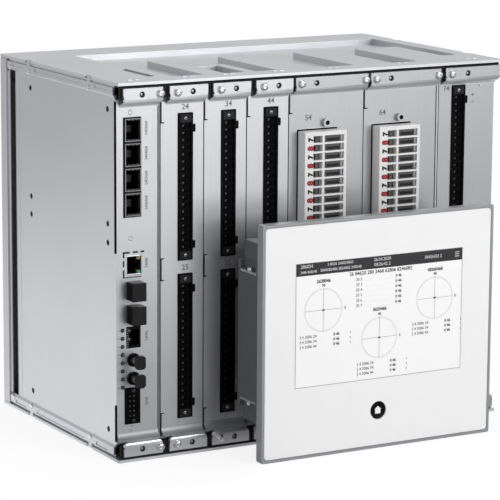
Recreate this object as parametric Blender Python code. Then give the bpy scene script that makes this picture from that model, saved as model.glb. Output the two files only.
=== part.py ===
"""Rack-height protection relay with plug-in modules, and its separate operator panel.

All sizes are in millimetres and become metres where a mesh is finished. The case frame has its
origin at the front left bottom corner of the covers: +X right, +Y to the rear, +Z up.
"""

import math

import bmesh
import bpy
from mathutils import Matrix, Vector

for old in list(bpy.data.objects):
    bpy.data.objects.remove(old, do_unlink=True)

MM = 0.001

# Case
CASE_HEIGHT = 265.0
CASE_DEPTH = 194.0
COVER_SHEET = 2.0
SHEET = 1.5
FIT = 0.3
LEFT_MARGIN = 1.0
RIGHT_MARGIN = 3.1
CASE_MIDDLE = CASE_HEIGHT / 2

# Plug-in modules, from left to right
PLATE_GAP = 0.5
COMM_WIDTH = 31.7
IO_WIDTH = 33.4
ANALOG_WIDTH = 61.3
POWER_WIDTH = 48.4
PARTITION = 1.5

# For each kind: how far its flange stands in at the left and out at the right, and its holes' places
COMM_FLANGE = (2.8, 1.2)
COMM_SCREWS = (30.9,)
COMM_GUIDE = 17.0
IO_FLANGE = (4.0, 0.3)
IO_SCREWS = (10.1,)
IO_GUIDE = 22.0
ANALOG_FLANGE = (1.9, 0.2)
ANALOG_SCREWS = (6.6, 59.3)
ANALOG_GUIDE = 18.9
POWER_FLANGE = (1.9, 0.8)
POWER_SCREWS = (7.3,)
POWER_GUIDE = 21.1

COMM_X = LEFT_MARGIN
PARTITION_COMM_X = COMM_X + COMM_WIDTH + PLATE_GAP
IO_X = [PARTITION_COMM_X + PARTITION + PLATE_GAP + i * (IO_WIDTH + PLATE_GAP) for i in range(3)]
ANALOG_X = [IO_X[2] + IO_WIDTH + PLATE_GAP + i * (ANALOG_WIDTH + PLATE_GAP) for i in range(2)]
PARTITION_POWER_X = ANALOG_X[1] + ANALOG_WIDTH + PLATE_GAP
POWER_X = PARTITION_POWER_X + PARTITION + PLATE_GAP
CASE_WIDTH = POWER_X + POWER_WIDTH + RIGHT_MARGIN

# Module front plates: a recessed face, with a joggled flange at each end
PLATE_FRONT = 6.0
PLATE_BACK = PLATE_FRONT + SHEET
PLATE_END_MARGIN = 12.0
FLANGE_FRONT = -0.5
FLANGE_SHEET = 2.0
FLANGE_BACK = FLANGE_FRONT + FLANGE_SHEET
FLANGE_END = 4.0
FLANGE_HEIGHT = 9.0
FLANGE_LEFT_CORNER = 4.5
FLANGE_RIGHT_CORNER = 3.0
JOGGLE_RISE = 4.0
JOGGLE_STEPS = 6
SCREW_HOLE_R = 1.6
GUIDE_HOLE_R = 2.2
SLIT_LENGTH = 16.2
SLIT_WIDTH = 1.0
SLIT_TICK = 3.0
SLIT_TICK_HEIGHT = 0.9
SLIT_END_MARGIN = 14.2

# Front rails that the flanges screw to
RAIL_FRONT = FLANGE_BACK + FIT
RAIL_WEB_HEIGHT = 9.4
RAIL_DEPTH = 7.4
RAIL_SIDE_MARGIN = 2.0

# Side plates: a recessed sheet, a proud band along each long edge, an inturned rear edge
SIDE_INSET = 2.0
BAND_INSET = 0.5
BAND_START = 4.0
BAND_HEIGHT = 5.0
BAND_JOGGLE = 1.6
SIDE_FRONT = 9.5
SIDE_BEND_END = CASE_DEPTH - 17.0
SIDE_BEND_R = 6.0
SIDE_RETURN = 10.0
SIDE_FLANGE = 9.0
TRAY_FLANGE = 10.0
SIDE_HOLE_R = 2.2
SIDE_HOLE_FRONT = 20.5
SIDE_HOLE_REAR_MARGIN = 48.0
SIDE_HOLE_REAR = CASE_DEPTH - SIDE_HOLE_REAR_MARGIN
SIDE_HOLE_END = 19.9
SIDE_HOLE_PAIR = 13.3
CHANNEL_DEPTH = 0.6
CHANNEL_HEIGHT = 2.4

# Covers
NOTCH_FRONT = 47.0
NOTCH_REAR_MARGIN = 48.0
NOTCH_CENTRES = (NOTCH_FRONT, CASE_DEPTH - NOTCH_REAR_MARGIN)
NOTCH_WIDTH = 9.5
NOTCH_DEPTH = 2.6
LUG_WIDTH = 4.6
RECESS_DEPTH = 4.4
RECESS_REAR_MARGIN = 37.0
RECESS_LEFT = 43.0
RECESS_RIGHT_MARGIN = 14.0
RECESS_LENGTH = 53.0
TROUGH_FRONT = 18.0

# Pluggable terminal strips
TERMINAL_PITCH = 5.0
TERMINAL_END = 9.0
TERMINAL_PLATE_END = 24.0
TERMINAL_WIDTH = 11.2
TERMINAL_FRONT = 5.0
TERMINAL_BACK = 18.0
TERMINAL_SPACING = 9.6
TERMINAL_RAISE = 0.6
POWER_TERMINAL_RAISE = 6.3
TERMINAL_OFFSET_IO = 13.7
TERMINAL_OFFSET_POWER = 11.6
TERMINAL_ROOM = (CASE_HEIGHT - TERMINAL_SPACING) / 2 - TERMINAL_PLATE_END - 2 * TERMINAL_END
TERMINAL_POLES = int(TERMINAL_ROOM / TERMINAL_PITCH) + 1
TERMINAL_LENGTH = (TERMINAL_POLES - 1) * TERMINAL_PITCH + 2 * TERMINAL_END
KEY_WIDTH = 1.9
KEY_HEIGHT = 5.0
KEY_END = 8.2
POLE_R = 1.6
POLE_DEPTH = 6.0
STRIP_RECESS = 1.4
STRIP_RECESS_WIDTH = 8.2

# Analogue input blocks
BLOCK_PITCH = 6.19
BLOCK_OFFSET = 7.7
BLOCK_WIDTH = 34.1
BLOCK_PROUD = 10.0
BLOCK_TOP_BORDER = 2.2
BLOCK_FOOT_BORDER = 8.2
BLOCK_TOP_DROP = 42.7
BLOCK_FOOT_ROOM = 50.0
BLOCK_ROOM = CASE_HEIGHT - BLOCK_TOP_DROP - BLOCK_FOOT_ROOM - BLOCK_TOP_BORDER - BLOCK_FOOT_BORDER
BLOCK_ROWS = int(BLOCK_ROOM / BLOCK_PITCH)
BLOCK_WINDOW_HEIGHT = 4.85
BLOCK_WINDOW_DEPTH = 3.6
BLOCK_SMALL_WINDOW = (6.8, 14.3)
BLOCK_LARGE_WINDOW = (16.0, 31.9)
BLOCK_NECK_INSET = 2.5
BLOCK_NECK_BACK = 20.0
NUT_R = 3.3
NUT_HOLE_R = 1.6
NUT_PROUD = 3.0
NUT_X = 30.2
NUT_GAP = 4.9

# Boards
BOARD = 1.6
BOARD_END = 14.0
BACKPLANE_BACK = SIDE_BEND_END - SHEET - FIT
BACKPLANE_FRONT = BACKPLANE_BACK - BOARD
SOCKET_DEPTH = 4.2
SOCKET_WIDTH = 8.0
SOCKET_HEIGHT = 90.0
BOARD_REAR = BACKPLANE_FRONT - SOCKET_DEPTH - FIT

# Communication module
COMM_BOARD_X = 20.6
COMM_BODY_RIGHT = COMM_BOARD_X - FIT
CAGE_LEFT = 5.9
CAGE_WIDTH = 13.3
CAGE_PITCH = 17.2
CAGE_TOP_DROP = 24.6
CAGE_WALL = 1.2
CAGE_BACK = 52.0
CAGE_POCKET = 42.0
LAN_LEFT = 8.6
LAN_GAP = 33.8
LAN_PLUG_WIDTH = 7.2
LAN_PLUG_HEIGHT = 12.2
LAN_LATCH_WIDTH = 3.4
LAN_LATCH_HEIGHT = 6.8
LAN_DEPTH = 17.0
LAN_WALL = 1.3
OPTIC_LEFT = 8.0
OPTIC_WIDTH = 10.5
OPTIC_COUNT = 3
OPTIC_PITCH = 16.6
OPTIC_GAP = 9.1
OPTIC_COLLAR = 14.8
OPTIC_POCKET_WIDTH = 8.1
OPTIC_POCKET_HEIGHT = 11.4
OPTIC_POCKET_DEPTH = 12.0
OPTIC_DEPTH = 17.0
CAP_HEIGHT = 13.0
CAP_PROUD = 10.0
CAP_PLUG = 7.0
FIBRE_X = 13.0
FIBRE_COUNT = 2
FIBRE_GAP = 7.6
FIBRE_PITCH = 13.2
FIBRE_BARREL_R = 2.7
FIBRE_FLANGE_R = 4.8
FIBRE_FLANGE = 1.2
FIBRE_BARREL_TIP = -4.2
FIBRE_CAP_R = 4.0
FIBRE_CAP_END = 2.0
FIBRE_CAP_RIM = -0.8
FIBRE_BODY_R = 4.6
FIBRE_BODY_BACK = 22.0
SYNC_LEFT = 6.6
SYNC_WIDTH = 11.4
SYNC_GAP = 6.7
SYNC_POLES = 5
SYNC_PITCH = 3.5
SYNC_END = 5.8
SYNC_PLATE_END = 24.0
SYNC_POLE_R = 1.1
LED_X = 4.8
LED_COUNT = 8
LED_PITCH = 5.77
LED_GAP = 36.1
LED_R = 1.3
LED_BAR_WIDTH = 3.6
LED_BAR_MARGIN = 3.5

# Transformers
CORE_COUNT = 5
CORE_PITCH = 38.0
CORE_R = 16.0
CORE_LENGTH = 34.0
CORE_BASE = 2.0
CORE_Y = 90.0
POWER_CORE = (30.0, 46.0, 52.0)
POWER_CORE_Y = 45.0

# Operator panel
PANEL_WIDTH = 190.0
PANEL_HEIGHT = 168.0
PANEL_STANDOFF = 48.5
PANEL_LEFT = 85.7
BEZEL_DEPTH = 7.6
BEZEL_CORNER = 1.4
BEZEL_FLOOR = 2.0
GLASS_SIDE = 2.3
GLASS_END = 2.4
GLASS = 2.0
GLASS_CORNER = 2.4
GLASS_SUNK = 0.2
GLASS_BACK = GLASS_SUNK + GLASS
DISPLAY_LEFT = 24.4
DISPLAY_BOTTOM = 48.6
DISPLAY_TOP_MARGIN = 28.4
BUTTON_X = PANEL_WIDTH / 2
BUTTON_Z = 27.5
BUTTON_R = 6.3
BUTTON_FLANGE_R = 7.6
BUTTON_FLANGE = 1.4
BUTTON_STEM_R = 3.1
BUTTON_TRAVEL = 1.0
BUTTON_FRONT = 0.5
HOUSING_SIDE = 5.5
HOUSING_BOTTOM = 24.4
HOUSING_TOP = PANEL_HEIGHT - 15.4
HOUSING_BACK = 36.1
HOUSING_WALL = 2.5
PAD = 4.7
PAD_BOTTOM = 35.0
PAD_TOP = PANEL_HEIGHT - 29.0
PAD_FRONT = 9.5
PAD_POCKET_TOP = 8.0
PAD_POCKET_BOTTOM = 7.0
PAD_POCKET_FRONT = 11.5
PAD_POCKET_BACK = 33.0
PAD_POCKET_WALL = 0.6
CLAMP_BAR = 1.8
CLAMP_SCREW_R = 1.8
CLAMP_SCREW = 1.8
PANEL_BOARD_FRONT = 10.5
PANEL_JACK_RIGHT = 40.0
PANEL_JACK_X = PANEL_WIDTH - PANEL_JACK_RIGHT
PANEL_JACK_Z = 34.0
PANEL_JACK_WALL = 1.5

# A whole object stands on Z = 0, centred in X and Y
TOTAL_DEPTH = CASE_DEPTH + PANEL_STANDOFF
CASE_FRAME = Vector((-CASE_WIDTH / 2, TOTAL_DEPTH / 2 - CASE_DEPTH, 0.0))


def material(name, colour, roughness, metallic=0.0, alpha=1.0):
    made = bpy.data.materials.new(name)
    made.use_nodes = True
    shader = made.node_tree.nodes["Principled BSDF"]
    shader.inputs["Base Color"].default_value = (*colour, 1.0)
    shader.inputs["Roughness"].default_value = roughness
    shader.inputs["Metallic"].default_value = metallic
    shader.inputs["Alpha"].default_value = alpha
    made.diffuse_color = (*colour, alpha)
    return made


COVER_STEEL = material("cover_steel", (0.62, 0.62, 0.64), 0.42, 0.6)
SIDE_STEEL = material("side_steel", (0.56, 0.56, 0.58), 0.45, 0.6)
PLATE_ALUMINIUM = material("plate_aluminium", (0.70, 0.70, 0.72), 0.4, 0.4)
RAIL_BLACK = material("rail_black", (0.03, 0.03, 0.032), 0.6, 0.2)
TERMINAL_BLACK = material("terminal_black", (0.015, 0.015, 0.016), 0.45)
CAP_BLACK = material("cap_black", (0.03, 0.03, 0.03), 0.55)
CAGE_METAL = material("cage_metal", (0.30, 0.30, 0.31), 0.35, 0.9)
BLOCK_WHITE = material("block_white", (0.83, 0.82, 0.80), 0.5)
BOARD_GREEN = material("board_green", (0.02, 0.12, 0.06), 0.5)
CORE_BROWN = material("core_brown", (0.25, 0.12, 0.05), 0.5, 0.2)
LENS_DARK = material("lens_dark", (0.05, 0.05, 0.05), 0.2)
BEZEL_GREY = material("bezel_grey", (0.12, 0.125, 0.13), 0.5)
HOUSING_GREY = material("housing_grey", (0.10, 0.10, 0.105), 0.55)
GLASS_WHITE = material("glass_white", (0.86, 0.86, 0.86), 0.08)
DISPLAY_GREY = material("display_grey", (0.10, 0.10, 0.11), 0.3)
BUTTON_BLACK = material("button_black", (0.02, 0.02, 0.02), 0.35)
CLAMP_STEEL = material("clamp_steel", (0.55, 0.55, 0.56), 0.35, 0.9)


def frame_empty(name, place, parent=None):
    empty = bpy.data.objects.new(name, None)
    empty.location = Vector(place) * MM
    empty.parent = parent
    bpy.context.scene.collection.objects.link(empty)
    return empty


CASE = frame_empty("case_frame", CASE_FRAME)
PANEL = frame_empty("panel_frame", (PANEL_LEFT, -PANEL_STANDOFF, 0), CASE)


def add_box(bm, x, y, z):
    """A box between the two limits of each axis."""
    size = Matrix.Diagonal((x[1] - x[0], y[1] - y[0], z[1] - z[0], 1))
    centre = Matrix.Translation(((x[0] + x[1]) / 2, (y[0] + y[1]) / 2, (z[0] + z[1]) / 2))
    bmesh.ops.create_cube(bm, size=1, matrix=centre @ size)


def add_prism(bm, outline, axis, start, end):
    """A flat outline, pushed along one axis. The outline's points give the other two axes in order."""
    def place(point, along):
        values = list(point)
        values.insert("XYZ".index(axis), along)
        return values

    face = bm.faces.new([bm.verts.new(place(point, start)) for point in outline])
    pushed = bmesh.ops.extrude_face_region(bm, geom=[face])["geom"]
    shift = Vector(place((0, 0), end - start))
    bmesh.ops.translate(bm, verts=[v for v in pushed if isinstance(v, bmesh.types.BMVert)], vec=shift)


def add_turned(bm, profile, centre, sides):
    """A solid turned about a line along Y. The profile is (radius, y) from front to rear."""
    x, z = centre
    points = [(0.0, profile[0][1])] + list(profile) + [(0.0, profile[-1][1])]
    verts = [bm.verts.new((x + r, y, z)) for r, y in points]
    edges = [bm.edges.new(pair) for pair in zip(verts, verts[1:])]
    bmesh.ops.spin(
        bm, geom=verts + edges, cent=(x, 0, z), axis=(0, 1, 0), angle=math.tau, steps=sides, use_merge=True
    )
    bmesh.ops.remove_doubles(bm, verts=bm.verts, dist=0.001)


def rectangle(x0, x1, z0, z1):
    return [(x0, z0), (x1, z0), (x1, z1), (x0, z1)]


def rounded_rectangle(x0, x1, z0, z1, radii, steps=3):
    """The four radii go anticlockwise from the low left corner, and a radius of 0 leaves it square."""
    outline = []
    for radius, x, z, turn in zip(radii, (x0, x1, x1, x0), (z0, z0, z1, z1), (2, 3, 0, 1)):
        if not radius:
            outline.append((x, z))
            continue
        cx = x + radius if x == x0 else x - radius
        cz = z + radius if z == z0 else z - radius
        for step in range(steps + 1):
            angle = (turn + step / steps) * math.pi / 2
            outline.append((cx + radius * math.cos(angle), cz + radius * math.sin(angle)))
    return outline


def finish(name, bm, look, parent, place=(0, 0, 0)):
    bmesh.ops.recalc_face_normals(bm, faces=bm.faces)
    bmesh.ops.scale(bm, vec=(MM, MM, MM), verts=bm.verts)
    mesh = bpy.data.meshes.new(name)
    bm.to_mesh(mesh)
    bm.free()
    obj = bpy.data.objects.new(name, mesh)
    obj.location = Vector(place) * MM
    obj.parent = parent
    bpy.context.scene.collection.objects.link(obj)
    if look:
        mesh.materials.append(look)
    return obj


def combine(obj, bm, operation, purpose):
    """Joins the shells in bm to the object, or cuts them from it. The shells don't meet each other."""
    tool = finish(f"{obj.name}_{purpose}", bm, None, obj.parent, obj.location / MM)
    tool.hide_render = True
    tool.display_type = "WIRE"
    modifier = obj.modifiers.new(purpose, "BOOLEAN")
    modifier.operation = operation
    modifier.solver = "EXACT"
    modifier.object = tool


def smooth_round(obj):
    obj.data.shade_smooth()
    obj.data.set_sharp_from_angle(angle=math.radians(35))


# Covers: pressed steel sheets, with a wide recess at the rear and troughs running forward from it
RECESS_REAR = CASE_DEPTH - RECESS_REAR_MARGIN
RECESS_FRONT = RECESS_REAR - RECESS_LENGTH
RECESS_RIGHT = CASE_WIDTH - RECESS_RIGHT_MARGIN
HALF_TROUGH = 65.0
SHORT_TROUGH = 40.0
POCKET_FRONT = 25.0
POCKET_SPACE = 33.0
TROUGH_STEPS = [
    (RECESS_LEFT, RECESS_FRONT),
    (IO_X[0] + 15.8, TROUGH_FRONT),
    (IO_X[1] + 6.4, RECESS_FRONT),
    (IO_X[1] + 15.3, HALF_TROUGH),
    (IO_X[2] + 13.7, TROUGH_FRONT),
    (ANALOG_X[0] - 3.5, RECESS_FRONT),
    (ANALOG_X[0] + 27.9, TROUGH_FRONT),
    (ANALOG_X[1] - 1.5, RECESS_FRONT),
    (ANALOG_X[1] + 30.9, TROUGH_FRONT),
    (ANALOG_X[1] + 52.4, RECESS_FRONT),
    (POWER_X + 24.9, SHORT_TROUGH),
]
POCKETS = [
    (IO_X[0] + 0.3, IO_X[0] + 6.0, POCKET_FRONT, RECESS_FRONT - POCKET_SPACE),
    (IO_X[1] + 23.0, IO_X[2] + 5.0, TROUGH_FRONT, HALF_TROUGH - 6.0),
]


def recess_outline(grow):
    """The recess with its troughs, seen from above and grown by the wall of the sheet."""
    outline = []
    front = RECESS_REAR
    for x, next_front in TROUGH_STEPS:
        side = x - grow if next_front < front else x + grow
        outline += [(side, front - grow), (side, next_front - grow)]
        front = next_front
    outline[0] = (RECESS_LEFT - grow, RECESS_REAR + grow)
    return outline + [(RECESS_RIGHT + grow, front - grow), (RECESS_RIGHT + grow, RECESS_REAR + grow)]


def add_recesses(bm, grow, low, high):
    add_prism(bm, recess_outline(grow), "Z", low, high)
    for x0, x1, y0, y1 in POCKETS:
        add_box(bm, (x0 - grow, x1 + grow), (y0 - grow, y1 + grow), (low, high))


def cover_outline():
    left = []
    for centre in NOTCH_CENTRES:
        near = centre - NOTCH_WIDTH / 2
        far = centre + NOTCH_WIDTH / 2
        left += [(0, near), (NOTCH_DEPTH, near), (NOTCH_DEPTH, far), (0, far)]
    left = [(0, 0)] + left + [(0, CASE_DEPTH)]
    return left + [(CASE_WIDTH - x, y) for x, y in reversed(left)]


def cover(name, outside, inward):
    """The outer face lies at height outside, and inward is +1 or -1, towards the middle of the case."""
    bm = bmesh.new()
    add_prism(bm, cover_outline(), "Z", outside, outside + inward * COVER_SHEET)
    made = finish(name, bm, COVER_STEEL, CASE)
    floor = outside + inward * RECESS_DEPTH
    bm = bmesh.new()
    add_recesses(bm, SHEET, outside + inward * COVER_SHEET / 4, floor + inward * SHEET)
    combine(made, bm, "UNION", "pressed_pans")
    bm = bmesh.new()
    add_recesses(bm, 0.0, outside - inward, floor)
    combine(made, bm, "DIFFERENCE", "recesses")


cover("top_cover", CASE_HEIGHT, -1)
cover("bottom_cover", 0.0, 1)


# Side plates: folded sheet with a proud band along each long edge, held under both covers
def side_section():
    """The lower half of the folded section, as (x, z) from the outer foot round to the inner foot."""
    foot = COVER_SHEET + FIT
    band_top = BAND_START + BAND_HEIGHT
    outer = [
        (SIDE_INSET, band_top + BAND_JOGGLE),
        (BAND_INSET, band_top),
        (BAND_INSET, BAND_START),
        (SIDE_INSET, BAND_START - FIT),
        (SIDE_INSET, foot),
        (SIDE_INSET + SIDE_FLANGE, foot),
    ]
    inner = [
        (SIDE_INSET + SIDE_FLANGE, foot + SHEET),
        (SIDE_INSET + SHEET, foot + SHEET),
        (BAND_INSET + SHEET, BAND_START + SHEET / 2),
        (BAND_INSET + SHEET, band_top - FIT),
        (SIDE_INSET + SHEET, band_top + BAND_JOGGLE - FIT),
    ]
    return outer, inner


def side_sheet_plan():
    """The flat sheet and its inturned rear edge, seen from above."""
    centre = (SIDE_INSET + SIDE_BEND_R, SIDE_BEND_END - SIDE_BEND_R)
    outer = [(SIDE_INSET, SIDE_FRONT)]
    inner = [(SIDE_INSET + SHEET, SIDE_FRONT)]
    for step in range(5):
        angle = math.pi - step / 4 * math.pi / 2
        for row, radius in ((outer, SIDE_BEND_R), (inner, SIDE_BEND_R - SHEET)):
            row.append((centre[0] + radius * math.cos(angle), centre[1] + radius * math.sin(angle)))
    outer.append((SIDE_INSET + SIDE_RETURN, SIDE_BEND_END))
    inner.append((SIDE_INSET + SIDE_RETURN, SIDE_BEND_END - SHEET))
    return outer + inner[::-1]


def side_plate(name, mirrored):
    def across(points):
        return [(CASE_WIDTH - x, v) if mirrored else (x, v) for x, v in points]

    def span(x0, x1):
        return (CASE_WIDTH - x1, CASE_WIDTH - x0) if mirrored else (x0, x1)

    outer, inner = side_section()
    upper_outer = [(x, CASE_HEIGHT - z) for x, z in outer]
    upper_inner = [(x, CASE_HEIGHT - z) for x, z in inner]
    band_end = CASE_DEPTH - TRAY_FLANGE - FIT
    bm = bmesh.new()
    add_prism(bm, across(side_sheet_plan()), "Z", BAND_START + BAND_HEIGHT, CASE_HEIGHT - BAND_START - BAND_HEIGHT)
    made = finish(name, bm, SIDE_STEEL, CASE)
    bm = bmesh.new()
    add_prism(bm, across(outer + inner), "Y", SIDE_FRONT, band_end)
    add_prism(bm, across(upper_outer + upper_inner), "Y", SIDE_FRONT, band_end)
    combine(made, bm, "UNION", "edge_bands")
    bm = bmesh.new()
    for centre in NOTCH_CENTRES:
        lug = (centre - LUG_WIDTH / 2, centre + LUG_WIDTH / 2)
        add_box(bm, span(BAND_INSET, BAND_INSET + SHEET), lug, (FIT, BAND_START + SHEET))
        add_box(
            bm, span(BAND_INSET, BAND_INSET + SHEET), lug, (CASE_HEIGHT - BAND_START - SHEET, CASE_HEIGHT - FIT)
        )
    combine(made, bm, "UNION", "cover_lugs")
    bm = bmesh.new()
    middle = CASE_MIDDLE + CASE_HEIGHT / 10
    heights = (
        SIDE_HOLE_END, CASE_HEIGHT - SIDE_HOLE_END, middle - SIDE_HOLE_PAIR / 2, middle + SIDE_HOLE_PAIR / 2
    )
    for y in (SIDE_HOLE_FRONT, SIDE_HOLE_REAR):
        for z in heights:
            hole = [
                (y + SIDE_HOLE_R * math.cos(a * math.tau / 8), z + SIDE_HOLE_R * math.sin(a * math.tau / 8))
                for a in range(8)
            ]
            add_prism(bm, hole, "X", *span(0, 2 * (SIDE_INSET + SHEET)))
    combine(made, bm, "DIFFERENCE", "fixing_holes")
    bm = bmesh.new()
    ends = [SIDE_FRONT] + list(NOTCH_CENTRES) + [band_end]
    for near, far in zip(ends, ends[1:]):
        channel = (near + NOTCH_WIDTH, far - NOTCH_WIDTH)
        low = BAND_START + SHEET / 2
        for foot in (low, CASE_HEIGHT - low - CHANNEL_HEIGHT):
            depth = span(BAND_INSET - 1, BAND_INSET + CHANNEL_DEPTH)
            add_box(bm, depth, channel, (foot, foot + CHANNEL_HEIGHT))
    combine(made, bm, "DIFFERENCE", "band_channels")


side_plate("side_plate_left", False)
side_plate("side_plate_right", True)


# Rear plate: a shallow tray whose side flanges show as the strips beside the dark gaps
def rear_plate():
    outline = [
        (0, CASE_DEPTH - TRAY_FLANGE),
        (SHEET, CASE_DEPTH - TRAY_FLANGE),
        (SHEET, CASE_DEPTH - SHEET),
        (CASE_WIDTH - SHEET, CASE_DEPTH - SHEET),
        (CASE_WIDTH - SHEET, CASE_DEPTH - TRAY_FLANGE),
        (CASE_WIDTH, CASE_DEPTH - TRAY_FLANGE),
        (CASE_WIDTH, CASE_DEPTH),
        (0, CASE_DEPTH),
    ]
    seat = COVER_SHEET + FIT
    bm = bmesh.new()
    add_prism(bm, outline, "Z", seat, CASE_HEIGHT - seat)
    made = finish("rear_plate", bm, COVER_STEEL, CASE)
    bm = bmesh.new()
    for x in (PLATE_END_MARGIN, CASE_WIDTH - PLATE_END_MARGIN):
        for z in (SIDE_HOLE_END, CASE_HEIGHT - SIDE_HOLE_END):
            add_turned(bm, [(SIDE_HOLE_R, CASE_DEPTH - TRAY_FLANGE), (SIDE_HOLE_R, CASE_DEPTH + 1)], (x, z), 12)
    combine(made, bm, "DIFFERENCE", "fixing_holes")


rear_plate()


# Front rails: angles under the covers, dark behind the flanges of the modules
def front_rail(name, outside, inward):
    seat = outside + inward * (COVER_SHEET + FIT)
    outline = [
        (RAIL_FRONT, seat),
        (RAIL_FRONT + RAIL_DEPTH, seat),
        (RAIL_FRONT + RAIL_DEPTH, seat + inward * SHEET),
        (RAIL_FRONT + SHEET, seat + inward * SHEET),
        (RAIL_FRONT + SHEET, seat + inward * RAIL_WEB_HEIGHT),
        (RAIL_FRONT, seat + inward * RAIL_WEB_HEIGHT),
    ]
    bm = bmesh.new()
    add_prism(bm, outline, "X", RAIL_SIDE_MARGIN, CASE_WIDTH - RAIL_SIDE_MARGIN)
    finish(name, bm, RAIL_BLACK, CASE)


front_rail("rail_top", CASE_HEIGHT, -1)
front_rail("rail_bottom", 0.0, 1)

PAN_BOTTOM = RECESS_DEPTH + SHEET + FIT
for partition_name, partition_x in (("partition_comm", PARTITION_COMM_X), ("partition_power", PARTITION_POWER_X)):
    sheet = bmesh.new()
    add_box(
        sheet,
        (partition_x, partition_x + PARTITION),
        (PLATE_FRONT, BACKPLANE_FRONT - FIT),
        (PAN_BOTTOM, CASE_HEIGHT - PAN_BOTTOM),
    )
    finish(partition_name, sheet, SIDE_STEEL, CASE)


# Module front plates
def terminal_outline(x, bottom, grow=0.0):
    """The front of a terminal strip with its two coding keys on the right, as (x, z)."""
    right = x + TERMINAL_WIDTH + grow
    outline = [(x - grow, bottom - grow), (right, bottom - grow)]
    for key in (bottom + KEY_END, bottom + TERMINAL_LENGTH - KEY_END - KEY_HEIGHT):
        low, high = key - grow, key + KEY_HEIGHT + grow
        outline += [(right, low), (right + KEY_WIDTH, low), (right + KEY_WIDTH, high), (right, high)]
    top = bottom + TERMINAL_LENGTH + grow
    return outline + [(right, top), (x - grow, top)]


UPPER_TERMINAL = CASE_MIDDLE + TERMINAL_RAISE + TERMINAL_SPACING / 2
LOWER_TERMINAL = CASE_MIDDLE + TERMINAL_RAISE - TERMINAL_SPACING / 2 - TERMINAL_LENGTH


def slit_outline(top):
    """The square-bracket slit that frees a contact tongue at a plate's left edge."""
    bottom = top - SLIT_LENGTH
    return [
        (-1, bottom),
        (SLIT_TICK, bottom),
        (SLIT_TICK, bottom + SLIT_TICK_HEIGHT),
        (SLIT_WIDTH, bottom + SLIT_TICK_HEIGHT),
        (SLIT_WIDTH, top - SLIT_TICK_HEIGHT),
        (SLIT_TICK, top - SLIT_TICK_HEIGHT),
        (SLIT_TICK, top),
        (-1, top),
    ]


def circle(x, z, radius, sides=8):
    turns = [(side + 0.5) * math.tau / sides for side in range(sides)]
    return [(x + radius * math.cos(a), z + radius * math.sin(a)) for a in turns]


def joggle_section(inner_edge):
    """The S-shaped bend from the flange to the plate, as (y, z) with its sheet thickness."""
    front = [(FLANGE_FRONT, inner_edge - JOGGLE_RISE)]
    back = [(FLANGE_BACK, inner_edge - JOGGLE_RISE)]
    for step in range(JOGGLE_STEPS + 1):
        along = step / JOGGLE_STEPS
        swing = (1 - math.cos(math.pi * along)) / 2
        z = inner_edge + along * JOGGLE_RISE
        front.append((FLANGE_FRONT + swing * (PLATE_FRONT - FLANGE_FRONT), z))
        back.append((FLANGE_BACK + swing * (PLATE_BACK - SHEET / 3 - FLANGE_BACK), z))
    front.append((PLATE_FRONT, inner_edge + JOGGLE_RISE + SHEET))
    back.append((PLATE_BACK - SHEET / 3, inner_edge + JOGGLE_RISE + SHEET))
    return front + back[::-1]


def module_plate(name, frame, width, openings, flange, screws, guide_hole, slits=True):
    """Screws and the guide hole are places along the flange, counted from the plate's left edge."""
    bm = bmesh.new()
    face = rectangle(0, width, PLATE_END_MARGIN, CASE_HEIGHT - PLATE_END_MARGIN)
    add_prism(bm, face, "Y", PLATE_FRONT, PLATE_BACK)
    made = finish(name, bm, PLATE_ALUMINIUM, frame)

    left, right = flange[0], width + flange[1]
    inner_edge = FLANGE_END + FLANGE_HEIGHT
    section = joggle_section(inner_edge)
    bm = bmesh.new()
    span = (left + FLANGE_LEFT_CORNER * 0.6, min(right, width) - FLANGE_RIGHT_CORNER / 2)
    add_prism(bm, section, "X", *span)
    add_prism(bm, [(y, CASE_HEIGHT - z) for y, z in section], "X", *span)
    combine(made, bm, "UNION", "joggles")

    bm = bmesh.new()
    low_radii = (0, 0, FLANGE_RIGHT_CORNER, FLANGE_LEFT_CORNER)
    high_radii = (FLANGE_LEFT_CORNER, FLANGE_RIGHT_CORNER, 0, 0)
    low = rounded_rectangle(left, right, FLANGE_END, inner_edge, low_radii)
    high = rounded_rectangle(left, right, CASE_HEIGHT - inner_edge, CASE_HEIGHT - FLANGE_END, high_radii)
    for outline in (low, high):
        add_prism(bm, outline, "Y", FLANGE_FRONT, FLANGE_BACK)
    combine(made, bm, "UNION", "flanges")

    bm = bmesh.new()
    for outline in openings:
        add_prism(bm, outline, "Y", PLATE_FRONT - 1, PLATE_BACK + 1)
    if slits:
        for top in (
            SLIT_END_MARGIN + SLIT_LENGTH,
            CASE_MIDDLE + SLIT_LENGTH / 2,
            CASE_HEIGHT - SLIT_END_MARGIN,
        ):
            add_prism(bm, slit_outline(top), "Y", PLATE_FRONT - 1, PLATE_BACK + 1)
    flange_middle = FLANGE_END + FLANGE_HEIGHT / 2
    for z in (flange_middle, CASE_HEIGHT - flange_middle):
        for x in screws:
            add_prism(bm, circle(x, z, SCREW_HOLE_R), "Y", FLANGE_FRONT - 1, FLANGE_BACK + 1)
        add_prism(bm, circle(guide_hole, z, GUIDE_HOLE_R), "Y", FLANGE_FRONT - 1, FLANGE_BACK + 1)
    combine(made, bm, "DIFFERENCE", "openings")
    return made


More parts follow.
